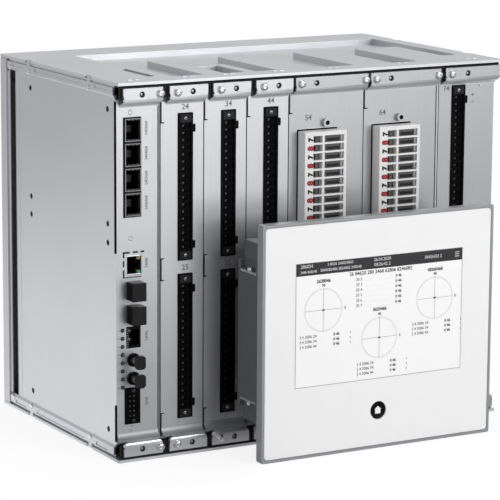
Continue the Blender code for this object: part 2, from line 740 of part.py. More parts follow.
def terminal_strip(name, frame, x, bottom):
    """A pluggable strip: round wire entries in a shallow recess, and a screw well at each end."""
    bm = bmesh.new()
    add_prism(bm, terminal_outline(x, bottom), "Y", TERMINAL_FRONT, TERMINAL_BACK)
    made = finish(name, bm, TERMINAL_BLACK, frame)
    recess_left = x + (TERMINAL_WIDTH - STRIP_RECESS_WIDTH) / 2
    recess_end = TERMINAL_END - TERMINAL_PITCH / 2
    floor = TERMINAL_FRONT + STRIP_RECESS
    bm = bmesh.new()
    add_box(
        bm,
        (recess_left, recess_left + STRIP_RECESS_WIDTH),
        (TERMINAL_FRONT - 1, floor),
        (bottom + recess_end, bottom + TERMINAL_LENGTH - recess_end),
    )
    combine(made, bm, "DIFFERENCE", "wire_recess")
    bm = bmesh.new()
    column = x + TERMINAL_WIDTH / 2 - POLE_R / 2
    for pole in range(TERMINAL_POLES):
        z = bottom + TERMINAL_END + pole * TERMINAL_PITCH
        add_prism(bm, circle(column, z, POLE_R, 6), "Y", floor - 1, floor + POLE_DEPTH)
    combine(made, bm, "DIFFERENCE", "wire_entries")


def board(name, frame, x, front=PLATE_BACK + FIT):
    bm = bmesh.new()
    add_box(bm, (x, x + BOARD), (front, BOARD_REAR), (BOARD_END, CASE_HEIGHT - BOARD_END))
    finish(name, bm, BOARD_GREEN, frame)


BOARD_PLACES = []


# Input and output modules
for number, module_x in enumerate(IO_X, start=1):
    MODULE = frame_empty(f"io_{number}_frame", (module_x, 0, 0), CASE)
    strips = {"upper": UPPER_TERMINAL, "lower": LOWER_TERMINAL}
    module_plate(
        f"io_{number}_plate",
        MODULE,
        IO_WIDTH,
        [terminal_outline(TERMINAL_OFFSET_IO, bottom, FIT) for bottom in strips.values()],
        IO_FLANGE,
        IO_SCREWS,
        IO_GUIDE,
    )
    for level, bottom in strips.items():
        terminal_strip(f"io_{number}_terminal_{level}", MODULE, TERMINAL_OFFSET_IO, bottom)
    IO_BOARD_X = TERMINAL_OFFSET_IO - FIT - BOARD
    board(f"io_{number}_board", MODULE, IO_BOARD_X)
    BOARD_PLACES.append(module_x + IO_BOARD_X)


# Analogue modules: white stepped terminal block, board and current transformers
BLOCK_HEIGHT = BLOCK_ROWS * BLOCK_PITCH + BLOCK_TOP_BORDER + BLOCK_FOOT_BORDER
BLOCK_BOTTOM = CASE_HEIGHT - BLOCK_TOP_DROP - BLOCK_HEIGHT
BLOCK_FRONT = PLATE_FRONT - BLOCK_PROUD
ANALOG_BOARD_X = BLOCK_OFFSET + BLOCK_NECK_INSET - FIT - BOARD


def analog_block(name, frame):
    neck = (BLOCK_OFFSET + BLOCK_NECK_INSET, BLOCK_OFFSET + BLOCK_WIDTH - BLOCK_NECK_INSET)
    neck_ends = (BLOCK_BOTTOM + BLOCK_NECK_INSET, BLOCK_BOTTOM + BLOCK_HEIGHT - BLOCK_NECK_INSET)
    bm = bmesh.new()
    add_box(
        bm,
        (BLOCK_OFFSET, BLOCK_OFFSET + BLOCK_WIDTH),
        (BLOCK_FRONT, PLATE_FRONT - FIT),
        (BLOCK_BOTTOM, BLOCK_BOTTOM + BLOCK_HEIGHT),
    )
    made = finish(name, bm, BLOCK_WHITE, frame)
    bm = bmesh.new()
    add_box(bm, neck, (PLATE_FRONT - 2, BLOCK_NECK_BACK), neck_ends)
    combine(made, bm, "UNION", "neck")
    bm = bmesh.new()
    rib = (BLOCK_PITCH - BLOCK_WINDOW_HEIGHT) / 2
    for row in range(BLOCK_ROWS):
        low = BLOCK_BOTTOM + BLOCK_FOOT_BORDER + row * BLOCK_PITCH + rib
        for window in (BLOCK_SMALL_WINDOW, BLOCK_LARGE_WINDOW):
            add_box(
                bm,
                (BLOCK_OFFSET + window[0], BLOCK_OFFSET + window[1]),
                (BLOCK_FRONT - 1, BLOCK_FRONT + BLOCK_WINDOW_DEPTH),
                (low, low + BLOCK_WINDOW_HEIGHT),
            )
    combine(made, bm, "DIFFERENCE", "windows")


def analog_transformers(name, frame):
    """Five wound cores on one mounting strip, beside the board."""
    strip_left = ANALOG_BOARD_X + BOARD + FIT
    height = CORE_COUNT * CORE_PITCH
    bm = bmesh.new()
    add_box(
        bm,
        (strip_left, strip_left + CORE_BASE),
        (CORE_Y - CORE_R, CORE_Y + CORE_R),
        (CASE_MIDDLE - height / 2, CASE_MIDDLE + height / 2),
    )
    made = finish(name, bm, CORE_BROWN, frame)
    bm = bmesh.new()
    for core in range(CORE_COUNT):
        z = CASE_MIDDLE + (core - (CORE_COUNT - 1) / 2) * CORE_PITCH
        outline = [(CORE_Y + dy, z + dz) for dy, dz in circle(0, 0, CORE_R, 12)]
        add_prism(bm, outline, "X", strip_left + CORE_BASE / 2, strip_left + CORE_BASE + CORE_LENGTH)
    combine(made, bm, "UNION", "windings")


for number, module_x in enumerate(ANALOG_X, start=1):
    MODULE = frame_empty(f"analog_{number}_frame", (module_x, 0, 0), CASE)
    cutout = rectangle(
        BLOCK_OFFSET + BLOCK_NECK_INSET - FIT,
        BLOCK_OFFSET + BLOCK_WIDTH - BLOCK_NECK_INSET + FIT,
        BLOCK_BOTTOM + BLOCK_NECK_INSET - FIT,
        BLOCK_BOTTOM + BLOCK_HEIGHT - BLOCK_NECK_INSET + FIT,
    )
    plate = module_plate(
        f"analog_{number}_plate",
        MODULE,
        ANALOG_WIDTH,
        [cutout],
        ANALOG_FLANGE,
        ANALOG_SCREWS,
        ANALOG_GUIDE,
    )
    nut = bmesh.new()
    nut_z = CASE_HEIGHT - BLOCK_TOP_DROP + NUT_GAP
    add_turned(nut, [(NUT_R, PLATE_FRONT - NUT_PROUD), (NUT_R, PLATE_FRONT + SHEET / 2)], (NUT_X, nut_z), 16)
    combine(plate, nut, "UNION", "press_nut")
    hole = bmesh.new()
    add_prism(hole, circle(NUT_X, nut_z, NUT_HOLE_R), "Y", PLATE_FRONT - NUT_PROUD - 1, PLATE_BACK + 1)
    combine(plate, hole, "DIFFERENCE", "nut_thread")
    analog_block(f"analog_{number}_terminal", MODULE)
    board(f"analog_{number}_board", MODULE, ANALOG_BOARD_X)
    BOARD_PLACES.append(module_x + ANALOG_BOARD_X)
    analog_transformers(f"analog_{number}_transformers", MODULE)


# Power supply module
MODULE = frame_empty("power_frame", (POWER_X, 0, 0), CASE)
POWER_BOARD_X = TERMINAL_OFFSET_POWER - FIT - BOARD
POWER_UPPER = UPPER_TERMINAL + POWER_TERMINAL_RAISE
POWER_LOWER = LOWER_TERMINAL + POWER_TERMINAL_RAISE
module_plate(
    "power_plate",
    MODULE,
    POWER_WIDTH,
    [terminal_outline(TERMINAL_OFFSET_POWER, bottom, FIT) for bottom in (POWER_UPPER, POWER_LOWER)],
    POWER_FLANGE,
    POWER_SCREWS,
    POWER_GUIDE,
    slits=False,
)
terminal_strip("power_terminal_upper", MODULE, TERMINAL_OFFSET_POWER, POWER_UPPER)
terminal_strip("power_terminal_lower", MODULE, TERMINAL_OFFSET_POWER, POWER_LOWER)
board("power_board", MODULE, POWER_BOARD_X)
BOARD_PLACES.append(POWER_X + POWER_BOARD_X)
core_left = POWER_BOARD_X + BOARD + FIT
body = bmesh.new()
add_box(
    body,
    (core_left, core_left + POWER_CORE[0]),
    (POWER_CORE_Y, POWER_CORE_Y + POWER_CORE[1]),
    (CASE_MIDDLE - POWER_CORE[2] / 2, CASE_MIDDLE + POWER_CORE[2] / 2),
)
finish("power_transformer", body, CORE_BROWN, MODULE)


# Communication module
COMM = frame_empty("comm_frame", (COMM_X, 0, 0), CASE)
SYNC_HEIGHT = (SYNC_POLES - 1) * SYNC_PITCH + 2 * SYNC_END
BELOW_CAGE = LAN_GAP + OPTIC_GAP + OPTIC_COUNT * OPTIC_PITCH + FIBRE_GAP + (FIBRE_COUNT - 1) * FIBRE_PITCH
CAGE_ROOM = CASE_HEIGHT - CAGE_TOP_DROP - BELOW_CAGE - SYNC_GAP - SYNC_HEIGHT - SYNC_PLATE_END
CAGE_COUNT = int(CAGE_ROOM / CAGE_PITCH)
CAGE_TOP = CASE_HEIGHT - CAGE_TOP_DROP
CAGE_BOTTOM = CAGE_TOP - CAGE_COUNT * CAGE_PITCH
LAN_Z = CAGE_BOTTOM - LAN_GAP
LAN_RIGHT = LAN_LEFT + LAN_PLUG_WIDTH + LAN_LATCH_WIDTH
OPTIC_TOP = LAN_Z - OPTIC_GAP
OPTIC_CENTRES = [OPTIC_TOP - (port + 0.5) * OPTIC_PITCH for port in range(OPTIC_COUNT)]
OPTIC_X = OPTIC_LEFT + OPTIC_WIDTH / 2
FIBRE_TOP = OPTIC_TOP - OPTIC_COUNT * OPTIC_PITCH - FIBRE_GAP
FIBRE_HEIGHTS = [FIBRE_TOP - port * FIBRE_PITCH for port in range(FIBRE_COUNT)]
SYNC_TOP = FIBRE_HEIGHTS[-1] - SYNC_GAP
LED_HEIGHTS = [OPTIC_TOP - LED_GAP - led * LED_PITCH for led in range(LED_COUNT)]
BEHIND_PLATE = PLATE_BACK + FIT


def centred(x, z, width, height):
    return rectangle(x - width / 2, x + width / 2, z - height / 2, z + height / 2)


def lan_outline(grow=0.0):
    """A socket for a modular plug lying on its side, with the latch slot on the right."""
    x = LAN_LEFT + LAN_PLUG_WIDTH
    plug = LAN_PLUG_HEIGHT / 2 + grow
    latch = LAN_LATCH_HEIGHT / 2 + grow
    return [
        (LAN_LEFT - grow, LAN_Z - plug),
        (x + grow, LAN_Z - plug),
        (x + grow, LAN_Z - latch),
        (LAN_RIGHT + grow, LAN_Z - latch),
        (LAN_RIGHT + grow, LAN_Z + latch),
        (x + grow, LAN_Z + latch),
        (x + grow, LAN_Z + plug),
        (LAN_LEFT - grow, LAN_Z + plug),
    ]


lan_window = rectangle(
    LAN_LEFT - FIT, LAN_RIGHT + FIT, LAN_Z - LAN_PLUG_HEIGHT / 2 - 0.8, LAN_Z + LAN_PLUG_HEIGHT / 2 + 0.8
)
comm_openings = [
    rectangle(CAGE_LEFT - FIT, CAGE_LEFT + CAGE_WIDTH + FIT, CAGE_BOTTOM - FIT, CAGE_TOP + FIT),
    lan_window,
    centred(OPTIC_X, OPTIC_CENTRES[0], OPTIC_POCKET_WIDTH, OPTIC_POCKET_HEIGHT),
    centred(OPTIC_X, OPTIC_CENTRES[1], OPTIC_POCKET_WIDTH, OPTIC_POCKET_HEIGHT),
    centred(OPTIC_X, OPTIC_CENTRES[2], OPTIC_WIDTH + 2 * FIT, OPTIC_COLLAR + 2 * FIT),
    rectangle(SYNC_LEFT - FIT, SYNC_LEFT + SYNC_WIDTH + FIT, SYNC_TOP - SYNC_HEIGHT - FIT, SYNC_TOP + FIT),
]
comm_openings += [circle(FIBRE_X, z, FIBRE_BARREL_R + FIT, 16) for z in FIBRE_HEIGHTS]
comm_openings += [circle(LED_X, z, LED_R + FIT, 8) for z in LED_HEIGHTS]
module_plate(
    "comm_plate",
    COMM,
    COMM_WIDTH,
    comm_openings,
    COMM_FLANGE,
    COMM_SCREWS,
    COMM_GUIDE,
    slits=False,
)
board("comm_board", COMM, COMM_BOARD_X)
BOARD_PLACES.append(COMM_X + COMM_BOARD_X)

# Ganged cage for four pluggable transceivers
cage_plan = [
    (CAGE_LEFT, PLATE_FRONT - 0.8),
    (CAGE_LEFT + CAGE_WIDTH, PLATE_FRONT - 0.8),
    (CAGE_LEFT + CAGE_WIDTH, BEHIND_PLATE),
    (COMM_BODY_RIGHT, BEHIND_PLATE),
    (COMM_BODY_RIGHT, CAGE_BACK),
    (CAGE_LEFT, CAGE_BACK),
]
body = bmesh.new()
add_prism(body, cage_plan, "Z", CAGE_BOTTOM, CAGE_TOP)
cage = finish("transceiver_cage", body, CAGE_METAL, COMM)
bays = bmesh.new()
for bay in range(CAGE_COUNT):
    low = CAGE_BOTTOM + bay * CAGE_PITCH
    add_box(
        bays,
        (CAGE_LEFT + CAGE_WALL, CAGE_LEFT + CAGE_WIDTH - CAGE_WALL / 2),
        (0, PLATE_FRONT + CAGE_POCKET),
        (low + CAGE_WALL, low + CAGE_PITCH - CAGE_WALL),
    )
combine(cage, bays, "DIFFERENCE", "bays")

# Network socket
body = bmesh.new()
add_box(
    body,
    (LAN_LEFT - LAN_WALL, COMM_BODY_RIGHT),
    (BEHIND_PLATE, BEHIND_PLATE + LAN_DEPTH),
    (LAN_Z - LAN_PLUG_HEIGHT / 2 - LAN_WALL, LAN_Z + LAN_PLUG_HEIGHT / 2 + LAN_WALL),
)
jack = finish("lan_socket", body, TERMINAL_BLACK, COMM)
mouth = bmesh.new()
add_prism(mouth, lan_outline(), "Y", BEHIND_PLATE - 1, BEHIND_PLATE + LAN_DEPTH - LAN_WALL)
combine(jack, mouth, "DIFFERENCE", "mouth")

# Three optical sockets moulded in one row: two are capped, and the lowest shows its frame
body = bmesh.new()
add_box(
    body,
    (OPTIC_LEFT, COMM_BODY_RIGHT),
    (BEHIND_PLATE, BEHIND_PLATE + OPTIC_DEPTH),
    (OPTIC_TOP - OPTIC_COUNT * OPTIC_PITCH, OPTIC_TOP),
)
optics = finish("optical_sockets", body, TERMINAL_BLACK, COMM)
collar = bmesh.new()
add_prism(
    collar,
    centred(OPTIC_X, OPTIC_CENTRES[2], OPTIC_WIDTH, OPTIC_COLLAR),
    "Y",
    PLATE_FRONT - 0.6,
    BEHIND_PLATE + 1,
)
combine(optics, collar, "UNION", "collar")
mouths = bmesh.new()
for z in OPTIC_CENTRES:
    mouth_outline = centred(OPTIC_X, z, OPTIC_POCKET_WIDTH, OPTIC_POCKET_HEIGHT)
    add_prism(mouths, mouth_outline, "Y", 0, BEHIND_PLATE + OPTIC_POCKET_DEPTH)
combine(optics, mouths, "DIFFERENCE", "mouths")

# Square dust caps, each plugged into its socket
for number, z in enumerate(OPTIC_CENTRES[:2], start=1):
    body = bmesh.new()
    add_prism(body, centred(OPTIC_X, z, OPTIC_WIDTH, CAP_HEIGHT), "Y", PLATE_FRONT - CAP_PROUD, PLATE_FRONT - FIT)
    cap = finish(f"dust_cap_{number}", body, CAP_BLACK, COMM)
    plug = bmesh.new()
    plug_outline = centred(OPTIC_X, z, OPTIC_POCKET_WIDTH - 2 * FIT, OPTIC_POCKET_HEIGHT - 2 * FIT)
    add_prism(plug, plug_outline, "Y", PLATE_FRONT - 2, BEHIND_PLATE + CAP_PLUG)
    combine(cap, plug, "UNION", "plug")

# Bayonet fibre ports and their round caps
for number, z in enumerate(FIBRE_HEIGHTS, start=1):
    seat = PLATE_FRONT - FIT
    body = bmesh.new()
    turned = [
        (FIBRE_BARREL_R, FIBRE_BARREL_TIP),
        (FIBRE_BARREL_R, seat - FIBRE_FLANGE),
        (FIBRE_FLANGE_R, seat - FIBRE_FLANGE),
        (FIBRE_FLANGE_R, seat),
        (FIBRE_BARREL_R, seat),
        (FIBRE_BARREL_R, BEHIND_PLATE),
        (FIBRE_BODY_R, BEHIND_PLATE),
        (FIBRE_BODY_R, FIBRE_BODY_BACK),
    ]
    add_turned(body, turned, (FIBRE_X, z), 16)
    smooth_round(finish(f"fibre_port_{number}", body, CAGE_METAL, COMM))
    body = bmesh.new()
    tip = FIBRE_BARREL_TIP - FIT
    add_turned(
        body, [(FIBRE_CAP_R, tip - FIBRE_CAP_END), (FIBRE_CAP_R, FIBRE_CAP_RIM)], (FIBRE_X, z), 12
    )
    cap = finish(f"fibre_cap_{number}", body, CAP_BLACK, COMM)
    bore = bmesh.new()
    add_turned(bore, [(FIBRE_BARREL_R + FIT, tip), (FIBRE_BARREL_R + FIT, FIBRE_CAP_RIM + 1)], (FIBRE_X, z), 16)
    combine(cap, bore, "DIFFERENCE", "bore")

# Small terminal strip for the time signal
body = bmesh.new()
add_box(
    body,
    (SYNC_LEFT, SYNC_LEFT + SYNC_WIDTH),
    (TERMINAL_FRONT, TERMINAL_BACK),
    (SYNC_TOP - SYNC_HEIGHT, SYNC_TOP),
)
sync = finish("sync_terminal", body, TERMINAL_BLACK, COMM)
entries = bmesh.new()
for pole in range(SYNC_POLES):
    z = SYNC_TOP - SYNC_END - pole * SYNC_PITCH
    entry = circle(SYNC_LEFT + SYNC_WIDTH / 2, z, SYNC_POLE_R, 6)
    add_prism(entries, entry, "Y", TERMINAL_FRONT - 1, TERMINAL_FRONT + POLE_DEPTH)
combine(sync, entries, "DIFFERENCE", "wire_entries")

# Light pipe: one clear moulding, a bar behind the plate with eight lenses through it
body = bmesh.new()
add_box(
    body,
    (LED_X - LED_BAR_WIDTH / 2, LED_X + LED_BAR_WIDTH / 2),
    (BEHIND_PLATE, BEHIND_PLATE + BOARD),
    (LED_HEIGHTS[-1] - LED_BAR_MARGIN, LED_HEIGHTS[0] + LED_BAR_MARGIN),
)
pipe = finish("led_light_pipe", body, LENS_DARK, COMM)
lenses = bmesh.new()
for z in LED_HEIGHTS:
    add_prism(lenses, circle(LED_X, z, LED_R, 8), "Y", PLATE_FRONT - 0.6, BEHIND_PLATE + BOARD / 2)
combine(pipe, lenses, "UNION", "lenses")


# Backplane: one board across the rear, with a socket for each module's board
body = bmesh.new()
edge = SIDE_INSET + SIDE_BEND_R + FIT
add_box(
    body, (edge, CASE_WIDTH - edge), (BACKPLANE_FRONT, BACKPLANE_BACK), (BOARD_END, CASE_HEIGHT - BOARD_END)
)
backplane = finish("backplane", body, BOARD_GREEN, CASE)
sockets = bmesh.new()
for board_x in BOARD_PLACES:
    add_box(
        sockets,
        (board_x + BOARD / 2 - SOCKET_WIDTH / 2, board_x + BOARD / 2 + SOCKET_WIDTH / 2),
        (BACKPLANE_FRONT - SOCKET_DEPTH, BACKPLANE_FRONT + BOARD / 2),
        (CASE_MIDDLE - SOCKET_HEIGHT / 2, CASE_MIDDLE + SOCKET_HEIGHT / 2),
    )
combine(backplane, sockets, "UNION", "sockets")


# Operator panel, in its own frame: origin at the front left bottom corner of the bezel
GLASS_LIMITS = (GLASS_SIDE, PANEL_WIDTH - GLASS_SIDE, GLASS_END, PANEL_HEIGHT - GLASS_END)
DISPLAY_RIGHT = PANEL_WIDTH - DISPLAY_LEFT
DISPLAY_TOP = PANEL_HEIGHT - DISPLAY_TOP_MARGIN
REBATE = GLASS_BACK + FIT
FLANGE_REST = REBATE + FIT / 2
STEM_END = BEZEL_DEPTH - BUTTON_TRAVEL


def grown(limits, grow):
    return (limits[0] - grow, limits[1] + grow, limits[2] - grow, limits[3] + grow)


body = bmesh.new()
add_prism(body, rounded_rectangle(0, PANEL_WIDTH, 0, PANEL_HEIGHT, 4 * [BEZEL_CORNER]), "Y", 0, BEZEL_DEPTH)
bezel = finish("panel_bezel", body, BEZEL_GREY, PANEL)
pocket = bmesh.new()
add_prism(pocket, rounded_rectangle(*grown(GLASS_LIMITS, FIT), 4 * [GLASS_CORNER + FIT], 4), "Y", -1, REBATE)
combine(bezel, pocket, "DIFFERENCE", "glass_rebate")
pocket = bmesh.new()
add_box(
    pocket,
    (DISPLAY_LEFT - FIT, DISPLAY_RIGHT + FIT),
    (REBATE - 1, BEZEL_DEPTH - BEZEL_FLOOR),
    (DISPLAY_BOTTOM - FIT, DISPLAY_TOP + FIT),
)
well = FLANGE_REST + BUTTON_FLANGE + BUTTON_TRAVEL + FIT
add_turned(pocket, [(BUTTON_FLANGE_R + FIT, REBATE - 1), (BUTTON_FLANGE_R + FIT, well)], (BUTTON_X, BUTTON_Z), 24)
combine(bezel, pocket, "DIFFERENCE", "display_bay")
pocket = bmesh.new()
add_turned(
    pocket,
    [(BUTTON_STEM_R + FIT, well - 1), (BUTTON_STEM_R + FIT, BEZEL_DEPTH + 1)],
    (BUTTON_X, BUTTON_Z),
    16,
)
combine(bezel, pocket, "DIFFERENCE", "stem_hole")

body = bmesh.new()
add_prism(body, rounded_rectangle(*GLASS_LIMITS, 4 * [GLASS_CORNER], 4), "Y", GLASS_SUNK, GLASS_BACK)
glass = finish("panel_glass", body, GLASS_WHITE, PANEL)
hole = bmesh.new()
add_turned(hole, [(BUTTON_R + FIT, GLASS_SUNK - 1), (BUTTON_R + FIT, GLASS_BACK + 1)], (BUTTON_X, BUTTON_Z), 24)
combine(glass, hole, "DIFFERENCE", "button_hole")

body = bmesh.new()
add_box(
    body,
    (DISPLAY_LEFT, DISPLAY_RIGHT),
    (REBATE, BEZEL_DEPTH - BEZEL_FLOOR - FIT),
    (DISPLAY_BOTTOM, DISPLAY_TOP),
)
finish("panel_display", body, DISPLAY_GREY, PANEL)

# Home button: its object's origin is on its axis, and it slides to the rear
body = bmesh.new()
button_profile = [
    (BUTTON_R, BUTTON_FRONT),
    (BUTTON_R, FLANGE_REST),
    (BUTTON_FLANGE_R, FLANGE_REST),
    (BUTTON_FLANGE_R, FLANGE_REST + BUTTON_FLANGE),
    (BUTTON_STEM_R, FLANGE_REST + BUTTON_FLANGE),
    (BUTTON_STEM_R, STEM_END),
]
add_turned(body, button_profile, (0, 0), 24)
smooth_round(finish("home_button", body, BUTTON_BLACK, PANEL, (BUTTON_X, 0, BUTTON_Z)))

# Rear housing: a deep tray seated behind the bezel, with a pad on each side for the clamps
HOUSING_FRONT = BEZEL_DEPTH + FIT
HOUSING_RIGHT = PANEL_WIDTH - HOUSING_SIDE
body = bmesh.new()
add_box(body, (HOUSING_SIDE, HOUSING_RIGHT), (HOUSING_FRONT, HOUSING_BACK), (HOUSING_BOTTOM, HOUSING_TOP))
housing = finish("panel_housing", body, HOUSING_GREY, PANEL)
pads = bmesh.new()
pockets = bmesh.new()
for pad, wall in (
    ((HOUSING_SIDE - PAD, HOUSING_SIDE + 1), (HOUSING_SIDE - PAD - 1, HOUSING_SIDE - PAD_POCKET_WALL)),
    ((HOUSING_RIGHT - 1, HOUSING_RIGHT + PAD), (HOUSING_RIGHT + PAD_POCKET_WALL, HOUSING_RIGHT + PAD + 1)),
):
    add_box(pads, pad, (PAD_FRONT, HOUSING_BACK), (PAD_BOTTOM, PAD_TOP))
    add_box(pockets, wall, (PAD_POCKET_FRONT, PAD_POCKET_BACK), (PAD_TOP - PAD_POCKET_TOP, PAD_TOP + 1))
    add_box(pockets, wall, (PAD_POCKET_FRONT, PAD_POCKET_BACK), (PAD_BOTTOM - 1, PAD_BOTTOM + PAD_POCKET_BOTTOM))
combine(housing, pads, "UNION", "side_pads")
combine(housing, pockets, "DIFFERENCE", "clamp_pockets")
inside = bmesh.new()
add_box(
    inside,
    (HOUSING_SIDE + HOUSING_WALL, HOUSING_RIGHT - HOUSING_WALL),
    (HOUSING_FRONT - 1, HOUSING_BACK - HOUSING_WALL),
    (HOUSING_BOTTOM + HOUSING_WALL, HOUSING_TOP - HOUSING_WALL),
)
combine(housing, inside, "DIFFERENCE", "inside")
JACK_WIDTH = LAN_PLUG_HEIGHT + 2 * PANEL_JACK_WALL
JACK_HEIGHT = LAN_PLUG_WIDTH + LAN_LATCH_WIDTH + 2 * PANEL_JACK_WALL
cut_hole = bmesh.new()
add_box(
    cut_hole,
    (PANEL_JACK_X - FIT, PANEL_JACK_X + JACK_WIDTH + FIT),
    (HOUSING_BACK - HOUSING_WALL - 1, HOUSING_BACK + 1),
    (PANEL_JACK_Z - FIT, PANEL_JACK_Z + JACK_HEIGHT + FIT),
)
combine(housing, cut_hole, "DIFFERENCE", "socket_hole")

body = bmesh.new()
inner_gap = HOUSING_WALL + FIT
add_box(
    body,
    (HOUSING_SIDE + inner_gap, HOUSING_RIGHT - inner_gap),
    (PANEL_BOARD_FRONT, PANEL_BOARD_FRONT + BOARD),
    (HOUSING_BOTTOM + inner_gap, HOUSING_TOP - inner_gap),
)
finish("panel_board", body, BOARD_GREEN, PANEL)

body = bmesh.new()
JACK_FRONT = PANEL_BOARD_FRONT + BOARD + FIT
add_box(
    body,
    (PANEL_JACK_X, PANEL_JACK_X + JACK_WIDTH),
    (JACK_FRONT, HOUSING_BACK),
    (PANEL_JACK_Z, PANEL_JACK_Z + JACK_HEIGHT),
)
panel_jack = finish("panel_lan_socket", body, TERMINAL_BLACK, PANEL)
mouth = bmesh.new()
add_box(
    mouth,
    (PANEL_JACK_X + PANEL_JACK_WALL, PANEL_JACK_X + JACK_WIDTH - PANEL_JACK_WALL),
    (HOUSING_BACK - LAN_DEPTH, HOUSING_BACK + 1),
    (PANEL_JACK_Z + PANEL_JACK_WALL, PANEL_JACK_Z + JACK_HEIGHT - PANEL_JACK_WALL),
)
combine(panel_jack, mouth, "DIFFERENCE", "mouth")

# Clamps: a steel bar at the end of each side pad, drawn up by one screw
CLAMP_DEPTH = PAD - PAD_POCKET_WALL - FIT
CLAMP_Y = (PAD_POCKET_FRONT + FIT, PAD_POCKET_BACK - FIT)
CLAMP_MIDDLE = (PAD_POCKET_FRONT + PAD_POCKET_BACK) / 2
clamp_low = (PAD_BOTTOM + PAD_POCKET_BOTTOM - FIT, -1)
clamp_high = (PAD_TOP - PAD_POCKET_TOP + FIT, 1)
left_bar = (HOUSING_SIDE - PAD_POCKET_WALL - FIT - CLAMP_DEPTH, HOUSING_SIDE - PAD_POCKET_WALL - FIT)
right_bar = (PANEL_WIDTH - left_bar[1], PANEL_WIDTH - left_bar[0])
for side, bar in (("left", left_bar), ("right", right_bar)):
    for level, (seat, away) in (("lower", clamp_low), ("upper", clamp_high)):
        body = bmesh.new()
        add_box(body, bar, CLAMP_Y, sorted((seat, seat + away * CLAMP_BAR)))
        clamp = finish(f"clamp_{side}_{level}", body, CLAMP_STEEL, PANEL)
        head = bmesh.new()
        middle = (bar[0] + bar[1]) / 2
        screw = [
            (middle + dx * 0.72, CLAMP_MIDDLE + dy) for dx, dy in circle(0, 0, CLAMP_SCREW_R, 12)
        ]
        start = seat + away * CLAMP_BAR / 2
        add_prism(head, screw, "Z", start, seat + away * (CLAMP_BAR + CLAMP_SCREW))
        combine(clamp, head, "UNION", "screw")
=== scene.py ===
import math

import bmesh
import bpy
from mathutils import Matrix, Vector


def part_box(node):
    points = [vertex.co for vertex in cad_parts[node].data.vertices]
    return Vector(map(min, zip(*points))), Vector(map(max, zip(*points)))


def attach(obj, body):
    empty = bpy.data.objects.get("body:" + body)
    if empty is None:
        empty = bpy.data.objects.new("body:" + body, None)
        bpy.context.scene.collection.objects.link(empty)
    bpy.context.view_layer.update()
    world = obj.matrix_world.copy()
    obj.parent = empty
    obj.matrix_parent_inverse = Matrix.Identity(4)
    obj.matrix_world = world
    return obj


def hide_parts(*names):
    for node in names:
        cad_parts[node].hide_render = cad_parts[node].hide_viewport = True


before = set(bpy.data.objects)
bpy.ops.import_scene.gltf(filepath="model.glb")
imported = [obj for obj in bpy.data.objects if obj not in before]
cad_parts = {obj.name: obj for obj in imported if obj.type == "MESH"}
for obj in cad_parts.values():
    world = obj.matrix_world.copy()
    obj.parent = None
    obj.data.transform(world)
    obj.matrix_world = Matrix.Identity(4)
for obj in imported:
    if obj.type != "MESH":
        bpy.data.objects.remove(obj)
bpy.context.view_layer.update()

# Viewpoint
# A long lens looks slightly down on the left front corner of the case, with the operator panel
# standing in front of its right half. The target is a point inside the case.
MM = 0.001
VIEW_TARGET = Vector((-54.14, -72.75, 141.65)) * MM
VIEW_DISTANCE = 1838.97 * MM
VIEW_TURN = math.radians(-29.43)
VIEW_RISE = math.radians(10.92)
VIEW_ROLL = math.radians(0.37)
LENS_LENGTH = 188.77
LENS_FRAME = 36.0

level = Vector((math.cos(VIEW_TURN), math.sin(VIEW_TURN), 0.0))
outward = Vector((math.sin(VIEW_TURN), -math.cos(VIEW_TURN), 0.0))
back = outward * math.cos(VIEW_RISE) + Vector((0.0, 0.0, math.sin(VIEW_RISE)))
right = level * math.cos(VIEW_ROLL) + back.cross(level) * math.sin(VIEW_ROLL)
up = back.cross(right)
lens = bpy.data.cameras.new("view")
lens.lens = LENS_LENGTH
lens.sensor_width = LENS_FRAME
camera = bpy.data.objects.new("view", lens)
camera.matrix_world = Matrix.Translation(VIEW_TARGET + back * VIEW_DISTANCE) @ (
    Matrix((right, up, back)).transposed().to_4x4()
)
bpy.context.scene.collection.objects.link(camera)
bpy.context.scene.camera = camera

# Studio
# A seamless pale floor fades into a white surround, and large soft lamps stand in front, at the
# left and above. The surround is darker overhead, so folds that face up read darker.
SKY_RISE, SKY_RISE_TONE = (0.10, 0.85), (1.0, 0.34)
SKY_AHEAD, SKY_AHEAD_TONE = (-1.0, -0.80), (0.45, 1.0)
SKY_FILL = 0.56
FLOOR_REACH = 6.0
FLOOR_DROP = 0.2
FLOOR_PLAIN, FLOOR_SHADED, FLOOR_GLOW = 0.80, 0.26, 0.84
SHADOW_SPAN = (0.35, 0.85)
MIRROR_REACH = 1.3
MIRROR_BANDS = (
    (-1.3, 1.0),
    (-0.85, 0.95),
    (-0.38, 0.30),
    (-0.22, 0.26),
    (-0.10, 0.28),
    (-0.04, 0.80),
    (0.0, 1.0),
    (0.45, 0.95),
    (1.3, 0.45),
)
MIRROR_SIDE, MIRROR_SIDE_TONE = (0.35, 0.80), (1.20, 0.58)


def link(tree, output, target):
    tree.links.new(output, target)


def add_node(tree, kind, **settings):
    made = tree.nodes.new(kind)
    for name, value in settings.items():
        setattr(made, name, value)
    return made


def rescale(tree, value, span, result=(0.0, 1.0), **settings):
    """Carries a value from one span to another, and holds it at both ends."""
    made = add_node(tree, "ShaderNodeMapRange", **settings)
    for socket, limit in zip(("From Min", "From Max", "To Min", "To Max"), (*span, *result)):
        made.inputs[socket].default_value = limit
    link(tree, value, made.inputs["Value"])
    return made.outputs[0]


def combine(tree, operation, first, second):
    """One number from two, such as their sum, their product or the larger one."""
    made = add_node(tree, "ShaderNodeMath", operation=operation)
    link(tree, first, made.inputs[0])
    link(tree, second, made.inputs[1])
    return made.outputs[0]


